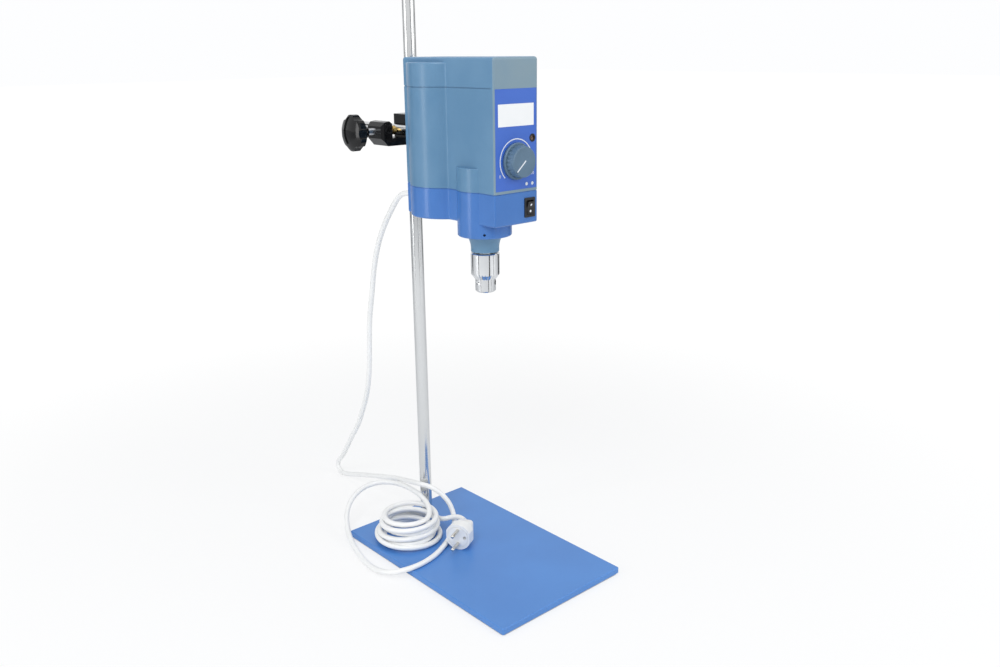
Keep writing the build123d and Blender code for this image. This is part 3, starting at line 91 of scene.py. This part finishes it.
class Signal:
    """One output of a node."""

    def __init__(self, finish, socket):
        self.finish = finish
        self.socket = socket

    def maths(self, operation, *values):
        return self.finish.node("ShaderNodeMath", {"operation": operation}, dict(enumerate(values)))

    def __add__(self, other):
        return self.maths("ADD", self, other)

    def __radd__(self, other):
        return self.maths("ADD", other, self)

    def __sub__(self, other):
        return self.maths("SUBTRACT", self, other)

    def __rsub__(self, other):
        return self.maths("SUBTRACT", other, self)

    def __mul__(self, other):
        return self.maths("MULTIPLY", self, other)

    def __rmul__(self, other):
        return self.maths("MULTIPLY", other, self)


class Finish:
    """One material, written as expressions."""

    def __init__(self, name):
        self.material = bpy.data.materials.new(name)
        self.material.use_nodes = True
        self.tree = self.material.node_tree
        self.tree.nodes.clear()
        self.output = self.tree.nodes.new("ShaderNodeOutputMaterial")

    def node(self, kind, settings=None, sockets=None, out=0):
        """Adds a node: its settings first, then the values or links of its sockets."""
        made = self.tree.nodes.new(kind)
        for key, value in (settings or {}).items():
            setattr(made, key, value)
        for key, value in (sockets or {}).items():
            if isinstance(value, Signal):
                self.tree.links.new(value.socket, made.inputs[key])
            else:
                made.inputs[key].default_value = value
        return Signal(self, made.outputs[out])

    def place(self, stretch=(1.0, 1.0, 1.0)):
        """Where a point of the surface is, in metres, stretched for streaks."""
        where = self.node("ShaderNodeTexCoord", out=3)
        return self.node("ShaderNodeMapping", None, {"Vector": where, "Scale": stretch})

    def noise(self, scale, detail=3.0, rough=0.5, stretch=(1.0, 1.0, 1.0)):
        """Soft random values from 0 to 1."""
        sockets = {"Vector": self.place(stretch), "Scale": scale, "Detail": detail, "Roughness": rough}
        return self.node("ShaderNodeTexNoise", None, sockets)

    def ramp(self, value, low, high):
        """0 below low, 1 above high, smooth between."""
        settings = {"interpolation_type": "SMOOTHSTEP"}
        sockets = {"Value": value, "From Min": low, "From Max": high}
        return self.node("ShaderNodeMapRange", settings, sockets)

    def mix(self, factor, first, second):
        """A colour between two colours."""
        return self.node("ShaderNodeMix", {"data_type": "RGBA"}, {0: factor, 6: first, 7: second}, out=2)

    def bump(self, height, distance):
        """A Bump node for the normal; distance is the height of 1, in metres."""
        sockets = {"Height": height, "Distance": distance, "Strength": 1.0}
        return self.node("ShaderNodeBump", None, sockets)

    def surface(self, **sockets):
        """Principled shader; an underscore in a name stands for a space."""
        named = {}
        for key, value in sockets.items():
            named[key.replace("_", " ").title().replace("Ior", "IOR")] = value
        shader = self.node("ShaderNodeBsdfPrincipled", None, named)
        self.tree.links.new(shader.socket, self.output.inputs["Surface"])
        return self.material


def tint(code):
    """A colour written as on a screen, such as 6890AE, as the shader's linear numbers."""
    parts = [int(code[i:i + 2], 16) / 255 for i in (0, 2, 4)]
    linear = [p / 12.92 if p <= 0.04045 else ((p + 0.055) / 1.055) ** 2.4 for p in parts]
    return (*linear, 1.0)


print("shader helpers ready")

# %% [markdown]
# The studio is a white sheet under soft lamps, as in a catalogue picture.
# Light Path tells the world who is looking: the camera sees a white sky, the chrome a slightly darker one,
# and diffuse surfaces get a weaker light, so that the colours on the object keep their written value.
# Chrome needs something dark to mirror, so five black cards stand round it and show in reflections only.

# %% Studio
world = bpy.data.worlds.new("studio")
bpy.context.scene.world = world
world.use_nodes = True
sky = world.node_tree
sky.nodes.clear()
light_path = sky.nodes.new("ShaderNodeLightPath")
seen = sky.nodes.new("ShaderNodeMath")
seen.operation = "MAXIMUM"
mirrored = sky.nodes.new("ShaderNodeMath")
mirrored.operation = "MULTIPLY"
mirrored.inputs[1].default_value = 0.85
sky.links.new(light_path.outputs["Is Glossy Ray"], mirrored.inputs[0])
through = sky.nodes.new("ShaderNodeMath")
through.operation = "MAXIMUM"
sky.links.new(light_path.outputs["Is Transmission Ray"], through.inputs[0])
sky.links.new(mirrored.outputs[0], through.inputs[1])
sky.links.new(light_path.outputs["Is Camera Ray"], seen.inputs[0])
sky.links.new(through.outputs[0], seen.inputs[1])
lighting = sky.nodes.new("ShaderNodeBackground")
lighting.inputs["Color"].default_value = (0.93, 0.96, 1.0, 1.0)
lighting.inputs["Strength"].default_value = 0.46
white = sky.nodes.new("ShaderNodeBackground")
white.inputs["Color"].default_value = (0.985, 0.99, 1.0, 1.0)
white.inputs["Strength"].default_value = 1.0
chosen = sky.nodes.new("ShaderNodeMixShader")
sky.links.new(seen.outputs[0], chosen.inputs[0])
sky.links.new(lighting.outputs[0], chosen.inputs[1])
sky.links.new(white.outputs[0], chosen.inputs[2])
sky_output = sky.nodes.new("ShaderNodeOutputWorld")
sky.links.new(chosen.outputs[0], sky_output.inputs["Surface"])

bpy.ops.mesh.primitive_plane_add(size=40.0, location=(0.0, 0.0, 0.0))
floor = bpy.context.object
floor.name = "floor"
paper = Finish("paper")
paper.surface(base_color=(0.93, 0.935, 0.94, 1.0), roughness=0.9)
sheet = paper.output.inputs["Surface"].links[0].from_socket
to_camera = paper.node("ShaderNodeLightPath")
spot = paper.node("ShaderNodeVectorMath", {"operation": "LENGTH"}, {0: paper.place()}, out=1)
glow = paper.node("ShaderNodeEmission", None, {"Color": (1.0, 1.0, 1.0, 1.0), "Strength": 1.02})
evened = paper.tree.nodes.new("ShaderNodeMixShader")
share = to_camera * (paper.ramp(spot, 0.3, 1.2) * 0.32 + 0.68)
paper.tree.links.new(share.socket, evened.inputs[0])
paper.tree.links.new(sheet, evened.inputs[1])
paper.tree.links.new(glow.socket, evened.inputs[2])
paper.tree.links.new(evened.outputs[0], paper.output.inputs["Surface"])
floor.data.materials.append(paper.material)


def lamp(name, place, target, width, height, watts):
    """A soft box that looks at a point."""
    bpy.ops.object.light_add(type="AREA", location=place)
    made = bpy.context.object
    made.name = name
    made.data.shape = "RECTANGLE"
    made.data.size = width
    made.data.size_y = height
    made.data.energy = watts
    made.rotation_mode = "QUATERNION"
    made.rotation_quaternion = (Vector(target) - Vector(place)).to_track_quat("-Z", "Y")


lamp("key_box", (-1.5, -1.1, 1.9), (0.0, -0.1, 0.4), 1.2, 1.2, 20.0)
lamp("front_box", (0.9, -2.2, 1.3), (0.0, -0.2, 0.4), 1.0, 1.4, 14.0)
lamp("left_strip", (-2.2, 0.5, 0.9), (-0.1, -0.1, 0.5), 0.5, 1.8, 10.0)
lamp("top_box", (0.1, -0.3, 2.3), (0.0, -0.1, 0.0), 1.4, 1.4, 9.0)

card_ink = Finish("card_ink")
card_ink.surface(base_color=(0.012, 0.012, 0.013, 1.0), roughness=0.9)
card_distance, card_middle, card_height = 1.6, 0.75, 1.5
for bearing, card_width in ((181.0, 0.16), (262.0, 0.20), (292.0, 0.10), (352.0, 0.5), (112.0, 0.4)):
    turn = radians(bearing)
    card_place = (card_distance * cos(turn), card_distance * sin(turn), card_middle)
    bpy.ops.mesh.primitive_plane_add(size=1.0, location=card_place, rotation=(0.0, radians(90), turn))
    card = bpy.context.object
    card.name = f"card_{bearing:.0f}"
    card.scale = (card_height, card_width, 1.0)
    card.data.materials.append(card_ink.material)
    card.visible_camera = False
    card.visible_diffuse = False
    card.visible_shadow = False
print("studio ready")

# %% [markdown]
# Most parts are painted metal or moulded plastic, and differ in colour, gloss and grain.
# One recipe makes them all: a cloudy shade, a fine grain in the normal and a gloss that varies a little.
# The upper housing's front face gets a painted sheen, lighter and greyer than its sides, so front gives that
# painted colour and the line where it begins.

# %% Coated and moulded finishes


def coated(name, colour, deep, gloss, grain, grain_size, cloud_size=9.0, coat=0.0, shine=0.5,
           front=None):
    """Paint or plastic: deep is the shade of its clouds, grain the height of its texture in metres."""
    finish = Finish(name)
    cloud = finish.ramp(finish.noise(cloud_size, 4.0, 0.55), 0.3, 0.7)
    speck = finish.noise(1.0 / grain_size, 2.0, 0.5)
    shade = finish.mix(cloud * 0.7 + speck * 0.3, deep, colour)
    # Painted sheen: the face ahead of the line gets a lighter, greyer colour that stands in for the front
    # lamps' light.
    if front:
        depth = finish.node("ShaderNodeSeparateXYZ", None, {0: finish.place()}, out=1)
        sheen_colour, line_y = front
        sheen_mask = finish.ramp(0.0 - depth, -line_y, 0.0012 - line_y)
        shade = finish.mix(sheen_mask * (0.75 + 0.25 * cloud), shade, sheen_colour)
    rough = gloss + 0.10 * (cloud - 0.5) + 0.06 * (speck - 0.5)
    return finish.surface(base_color=shade, roughness=rough, normal=finish.bump(speck, grain),
                          coat_weight=coat, coat_roughness=0.12, specular_ior_level=shine)


plate_paint = coated("plate_paint", tint("568FD6"), tint("4A84CC"), 0.4, 0.00005, 0.0016, 9.0, 0.15)
mat_rubber = coated("mat_rubber", tint("B9BCBE"), tint("BDBFC2"), 0.7, 0.00006, 0.0008)
clamp_black = coated("clamp_black", tint("101012"), tint("0B0B0D"), 0.2, 0.00009, 0.004, 30.0, 0.12, 0.3)
knob_black = coated("knob_black", tint("101011"), tint("0B0B0C"), 0.15, 0.00003, 0.003, 30.0, 0.12, 0.3)
# The front face's painted sheen starts 2.2 mm behind the housing's front.
front_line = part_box("upper_housing")[0].y + 2.2 * mm
shell_grey_blue = coated("shell_grey_blue", tint("648EB0"), tint("5784A8"), 0.34, 0.00003, 0.0009, 14.0,
                         0.15, front=(tint("8097A3"), front_line))
shell_blue = coated("shell_blue", tint("477EC8"), tint("3C70B6"), 0.32, 0.00003, 0.0009, 8.0, 0.3)
nose_grey = coated("nose_grey", tint("6B93B0"), tint("6189A8"), 0.38, 0.00003, 0.0009, 12.0)
panel_blue = coated("panel_blue", tint("3F6CC9"), tint("3866C4"), 0.36, 0.00002, 0.0006, 14.0, 0.2)
knob_slate = coated("knob_slate", tint("5F7A90"), tint("536E84"), 0.46, 0.00006, 0.0007, 30.0)
board_green = coated("board_green", tint("2C6B45"), tint("235A39"), 0.4, 0.00004, 0.001, 60.0)
module_dark = coated("module_dark", tint("2A2B2E"), tint("222326"), 0.45, 0.00004, 0.0012, 60.0)
black_plastic = coated("black_plastic", tint("1E1E20"), tint("161618"), 0.38, 0.00004, 0.0006, 40.0)
trim_brown = coated("trim_brown", tint("8C7263"), tint("7C6355"), 0.5, 0.00004, 0.0006, 60.0)
belt_rubber = coated("belt_rubber", tint("232324"), tint("1A1A1B"), 0.75, 0.00008, 0.0008, 60.0)
cord_white = coated("cord_white", tint("FBFBFA"), tint("F6F6F4"), 0.36, 0.00003, 0.0012, 20.0, 0.15)
plug_white = coated("plug_white", tint("FAFAF9"), tint("F4F4F2"), 0.34, 0.00003, 0.0008, 30.0, 0.2)
lamp_plastic = coated("lamp_plastic", tint("F2F6F8"), tint("DDE6EC"), 0.2, 0.00002, 0.0006, 90.0, 0.5)
window_white = coated("window_white", tint("FDFEFE"), tint("F6F8F8"), 0.12, 0.00001, 0.002, 25.0, 0.6)
print("coated finishes ready")

# %% [markdown]
# Bare metal shows the way it was worked: the rod and the arm are ground, the chuck is turned and polished.
# Fine streaks come from a noise that is squeezed along one direction, and they only touch gloss and normal.

# %% Metal finishes


def metal(name, colour, gloss, streak, stretch, depth=0.00001, spread=0.10):
    """Metal with streaks: a small number in stretch makes them long in that direction."""
    finish = Finish(name)
    line = finish.noise(streak, 3.0, 0.6, stretch)
    cloud = finish.noise(35.0, 3.0, 0.5)
    dull = tuple(0.86 * c for c in colour[:3]) + (1.0,)
    shade = finish.mix(line * 0.6 + cloud * 0.4, dull, colour)
    rough = gloss + spread * (line - 0.5) + 0.5 * spread * (cloud - 0.5)
    return finish.surface(base_color=shade, roughness=rough, metallic=1.0,
                          normal=finish.bump(line, depth))


rod_steel = metal("rod_steel", tint("E2E3E3"), 0.13, 900.0, (0.25, 0.25, 1.0), 0.000004)
arm_steel = metal("arm_steel", tint("E2E3E3"), 0.13, 900.0, (0.25, 1.0, 0.25), 0.000004)
screw_steel = metal("screw_steel", tint("B9BBBE"), 0.3, 1500.0, (1.0, 1.0, 1.0))
flange_alu = metal("flange_alu", tint("D2D4D6"), 0.32, 1200.0, (0.3, 0.3, 1.0))
bracket_steel = metal("bracket_steel", tint("C9CCD0"), 0.34, 500.0, (0.1, 1.0, 1.0))
chuck_chrome = metal("chuck_chrome", tint("ECEDEE"), 0.07, 1600.0, (0.08, 0.08, 1.0), 0.000003, 0.05)
chuck_steel = metal("chuck_steel", tint("E4E5E6"), 0.12, 1600.0, (0.08, 0.08, 1.0), 0.000005, 0.08)
pad_brass = metal("pad_brass", tint("D6B571"), 0.3, 1500.0, (1.0, 1.0, 1.0))
pin_metal = metal("pin_metal", tint("DCD9D2"), 0.18, 1500.0, (0.2, 0.2, 1.0))
print("metal finishes ready")

# %% [markdown]
# Each solid of the frame keeps its shape and gets the finish of its real piece.
# A list from finish to nodes keeps the two together, and the count shows that none was forgotten.

# %% Finishes on the solids
worn_by = [
    (plate_paint, ["base_plate"]),
    (mat_rubber, ["plate_mat"]),
    (rod_steel, ["stand_rod", "knob_shaft", "motor_shaft"]),
    (arm_steel, ["extension_arm"]),
    (screw_steel, ["rod_bolt", "housing_screws", "flange_screws", "arm_clamp_screw", "rod_clamp_screw",
                   "snap_ring", "spindle_bearings"]),
    (clamp_black, ["clamp_body"]),
    (knob_black, ["arm_clamp_knob", "rod_clamp_knob"]),
    (pad_brass, ["arm_clamp_pad", "rod_clamp_pad"]),
    (shell_grey_blue, ["upper_housing"]),
    (shell_blue, ["lower_housing"]),
    (nose_grey, ["spindle_nose"]),
    (flange_alu, ["arm_flange", "motor_can", "motor_pulley", "spindle_pulley"]),
    (bracket_steel, ["motor_bracket"]),
    (belt_rubber, ["drive_belt"]),
    (panel_blue, ["front_panel"]),
    (window_white, ["display_window"]),
    (board_green, ["circuit_board"]),
    (module_dark, ["display_module", "speed_setter"]),
    (black_plastic, ["trim_bush", "switch_frame", "rocker"]),
    (trim_brown, ["trim_screw"]),
    (lamp_plastic, ["panel_lamps"]),
    (knob_slate, ["speed_knob"]),
    (chuck_chrome, ["chuck_sleeve"]),
    (chuck_steel, ["chuck_body", "chuck_nut", "chuck_jaw_1", "chuck_jaw_2", "chuck_jaw_3",
                   "spindle_shaft"]),
    (cord_white, ["mains_cord", "cord_coil", "plug_lead", "cord_gland"]),
    (plug_white, ["plug_body"]),
    (pin_metal, ["plug_pins"]),
]
dressed = 0
for finish, wearers in worn_by:
    for name in wearers:
        nodes[name].data.materials.clear()
        nodes[name].data.materials.append(finish)
        dressed += 1
print("dressed", dressed, "of", len(nodes))

# %% [markdown]
# The cord leaves the head through its gland, hangs down behind the rod to the bench and comes back over
# the plate. It makes one wide loop, then lies in a loose coil of almost six turns, with the plug beside it.
# A NURBS line near few points gives it the calm bends of a real cord, where a bent wire would show corners.

# %% The cord's line
hanging = [
    (-36, -42, 478.5), (-36, -27, 478.5), (-33.6, -10, 471.3), (-29.4, 10, 454.6), (-26.4, 34, 429.2),
    (-23, 56, 399.1), (-20.9, 71, 364.0), (-18.6, 82, 327.0), (-17.8, 93, 286.8), (-16, 99, 246.2),
    (-15.9, 103, 206.0), (-14, 114, 172.1), (-12, 131.5, 140.1), (-8.4, 152, 109.0), (-6, 180, 77.0),
    (-1.6, 205, 45.9), (0.8, 225, 27.0), (3.6, 238.6, 14.6), (2.6, 229.5, 2.6), (-0.6, 205, 7.6),
    (1, 165, 20.4), (-1.2, 118, 34.6), (-4, 70, 50), (-11, 30, 61.6), (-13, -2, 69), (-6.5, -17.5, 68.5),
    (3.6, -30, 59), (11.4, -38, 44.5), (14, -43, 29.5), (11, -49, 19), (1.5, -57, 13.8), (-14, -69, 13.6),
    (-36, -83.5, 13.7), (-60, -94, 13.6), (-84, -99, 13.7), (-105, -97, 13.4), (-121, -84, 9),
    (-128, -62, 5), (-127, -36, 4), (-121, -8, 4.6), (-113, 21, 7.4), (-103, 47, 14.5), (-88, 70, 26),
    (-68, 84, 36), (-45, 88, 43), (-25, 77, 48), (-14.5, 54, 51.5), (-13, 27, 54), (-14.8, 0, 55),
    (-18.5, -24, 52.6), (-26, -42, 49.4),
]
coil_x, coil_y = -50.0, -27.0
layers = [(29.5, 45.5), (39.5, 41.5), (32.5, 33.5), (41.0, 28.5), (33.5, 20.5), (41.5, 14.0), (48.5, 26.0)]
sway, sway_rate = 3.2, 2.6
first_angle = radians(-63.4)
turned_by = radians(360 * 5 + 311.6)
points_each_turn = 15
coil_count = round(turned_by / (2 * pi) * points_each_turn)
coiled = []
for i in range(coil_count + 1):
    share = i / coil_count * turned_by / (2 * pi)
    layer = min(int(share), 5)
    part = share - layer
    reach = layers[layer][0] * (1 - part) + layers[layer + 1][0] * part
    height = layers[layer][1] * (1 - part) + layers[layer + 1][1] * part
    angle = first_angle - i / coil_count * turned_by
    loose = sin(pi * i / coil_count)
    centre_x = coil_x + sway * loose * cos(sway_rate * share)
    centre_y = coil_y + sway * loose * sin(sway_rate * share)
    coiled.append((centre_x + reach * cos(angle), centre_y + reach * sin(angle), height))
to_plug = [(7.6, -48.6, 28.5), (12.4, -61.6, 31.0), (8.8, -73.0, 32.0)]
cord_line = [Vector(p) * mm for p in hanging + coiled + to_plug]


def nurbs(name, points, bevel):
    """A smooth line through the points' hull, with a round section."""
    data = bpy.data.curves.new(name, "CURVE")
    data.dimensions = "3D"
    spline = data.splines.new("NURBS")
    spline.points.add(len(points) - 1)
    for spot, point in zip(spline.points, points):
        spot.co = (*point, 1.0)
    spline.order_u = 3
    spline.use_endpoint_u = True
    data.resolution_u = 6
    data.bevel_depth = bevel
    data.bevel_resolution = 3
    data.use_fill_caps = bevel > 0
    made = bpy.data.objects.new(name, data)
    bpy.context.scene.collection.objects.link(made)
    return made


def take(thing):
    """Makes one object the selected and active one."""
    bpy.ops.object.select_all(action="DESELECT")
    thing.select_set(True)
    bpy.context.view_layer.objects.active = thing
    return thing


print("cord line of", len(cord_line), "points")

# %% [markdown]
# The tube follows that line and becomes a mesh.
# It is made in three lengths that meet end to end.
# The long one lies between the stand and the boss head, the next between the boss head and the arm, and
# the short one at the top between the arm and the head, which rolls.

# %% The cord's tube
cord_radius = 3.5 * mm


def tube(name, points):
    """One length of the cord: a round tube along its points, made into a mesh."""
    take(nurbs(name + "_line", points, 0.0))
    bpy.ops.object.convert(target="MESH")
    line = bpy.context.object
    bpy.data.objects.remove(line)
    take(nurbs(name, points, cord_radius))
    bpy.ops.object.convert(target="MESH")
    made = bpy.context.object
    bpy.ops.object.shade_smooth()
    made.data.materials.append(cord_white)
    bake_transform(made)
    return made


def between(spot):
    """Where the line passes between two of its points: halfway, because it is quadratic."""
    return (cord_line[spot - 1] + cord_line[spot]) / 2


head_spots, arm_spots = 3, 5
head_end = between(head_spots)
arm_end = between(arm_spots)
cord = tube("cord", [arm_end] + cord_line[arm_spots:])
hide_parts("mains_cord", "cord_coil", "plug_lead")
tube("cord_middle", [head_end] + cord_line[head_spots:arm_spots] + [arm_end])
tube("cord_top", cord_line[:head_spots] + [head_end])

# %% [markdown]
# The dial is printed in white on the blue film: an arc round the knob, a number at each end.
# The arc is spun from one short edge with bmesh, which keeps its width the same all round.
# The pointer rides on the knob's body and turns with it, while the arc and the numbers ride on the head.

# %% Print on the panel
panel_low, panel_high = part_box("front_panel")
knob_low, knob_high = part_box("speed_knob")
knob_x = (knob_low.x + knob_high.x) / 2
knob_z = (knob_low.z + knob_high.z) / 2
print_white = coated("print_white", tint("EDF1F6"), tint("E2E7EE"), 0.5, 0.00001, 0.0005, 90.0)
film_y = panel_low.y

ink = 0.1 * mm
dial_inner, dial_outer = 23.2 * mm, 24.3 * mm
pointer_long, pointer_wide, pointer_shift = 17.0 * mm, 1.4 * mm, -6.5 * mm
pointer_turn = radians(-42)
number_aside, number_below, number_size = 24.0 * mm, 15.0 * mm, 4.5 * mm
mark_radius, mark_apart = 1.3 * mm, 3.6 * mm


def inked(name, body, mesh_data):
    """Gives a flat print its ink and its body."""
    print_piece = bpy.data.objects.new(name, mesh_data)
    bpy.context.scene.collection.objects.link(print_piece)
    take(print_piece)
    print_piece.data.materials.append(print_white)
    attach(print_piece, body)


bar = bmesh.new()
lean = Vector((-cos(radians(45)), 0.0, -sin(radians(45))))
middle = Vector((knob_x, film_y - ink, knob_z))
ends = [bar.verts.new(middle + lean * reach) for reach in (dial_inner, dial_outer)]
edge = bar.edges.new(ends)
bmesh.ops.spin(bar, geom=[*ends, edge], cent=middle, axis=(0, 1, 0), angle=radians(270), steps=72,
               use_merge=False)
ribbon = bmesh.ops.extrude_face_region(bar, geom=bar.faces[:])
back = [v for v in ribbon["geom"] if isinstance(v, bmesh.types.BMVert)]
bmesh.ops.translate(bar, verts=back, vec=(0.0, ink, 0.0))
bmesh.ops.recalc_face_normals(bar, faces=bar.faces)
dial_data = bpy.data.meshes.new("dial_arc")
bar.to_mesh(dial_data)
bar.free()
inked("dial_arc", "head", dial_data)

bar = bmesh.new()
bmesh.ops.create_cube(bar, size=1.0)
bmesh.ops.scale(bar, verts=bar.verts, vec=(pointer_long, 2 * ink, pointer_wide))
bmesh.ops.translate(bar, verts=bar.verts, vec=(pointer_shift, 0.0, 0.0))
bmesh.ops.rotate(bar, verts=bar.verts, matrix=Matrix.Rotation(pointer_turn, 3, "Y"))
bmesh.ops.translate(bar, verts=bar.verts, vec=(knob_x, knob_low.y, knob_z))
pointer_data = bpy.data.meshes.new("pointer")
bar.to_mesh(pointer_data)
bar.free()
inked("pointer", "speed_knob", pointer_data)


def number(words, x, z, size):
    """A plain number printed on the film."""
    bpy.ops.object.text_add(location=(x, film_y - ink / 2, z), rotation=(radians(90), 0.0, 0.0))
    written = bpy.context.object
    written.data.body = words
    written.data.size = size
    written.data.align_x = "CENTER"
    written.data.align_y = "CENTER"
    written.data.extrude = ink / 2
    bpy.ops.object.convert(target="MESH")
    bpy.ops.object.transform_apply(location=True, rotation=True, scale=True)
    written = bpy.context.object
    written.name = "number_" + words
    written.data.materials.append(print_white)
    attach(written, "head")


number("0", knob_x - number_aside, knob_z - number_below, number_size)
number("10", knob_x + number_aside, knob_z - number_below, number_size)

# The rocker's two plain marks lie on its face, which a ray from the front finds.
rocker = nodes["rocker"]
rocker_low, rocker_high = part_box("rocker")
rocker_x = (rocker_low.x + rocker_high.x) / 2
rocker_z = (rocker_low.z + rocker_high.z) / 2
for mark_name, mark_z in (("mark_on", rocker_z + mark_apart), ("mark_off", rocker_z - mark_apart)):
    _, spot_at, facing, _ = rocker.ray_cast((rocker_x, rocker_low.y - 0.02, mark_z), (0.0, 1.0, 0.0))
    bpy.ops.mesh.primitive_cylinder_add(vertices=24, radius=mark_radius, depth=2 * ink, location=spot_at)
    mark = bpy.context.object
    mark.name = mark_name
    mark.rotation_mode = "QUATERNION"
    mark.rotation_quaternion = facing.to_track_quat("Z", "X")
    bpy.ops.object.transform_apply(location=True, rotation=True, scale=True)
    mark.data.materials.append(print_white)
    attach(mark, "rocker")
print("print on the panel ready")
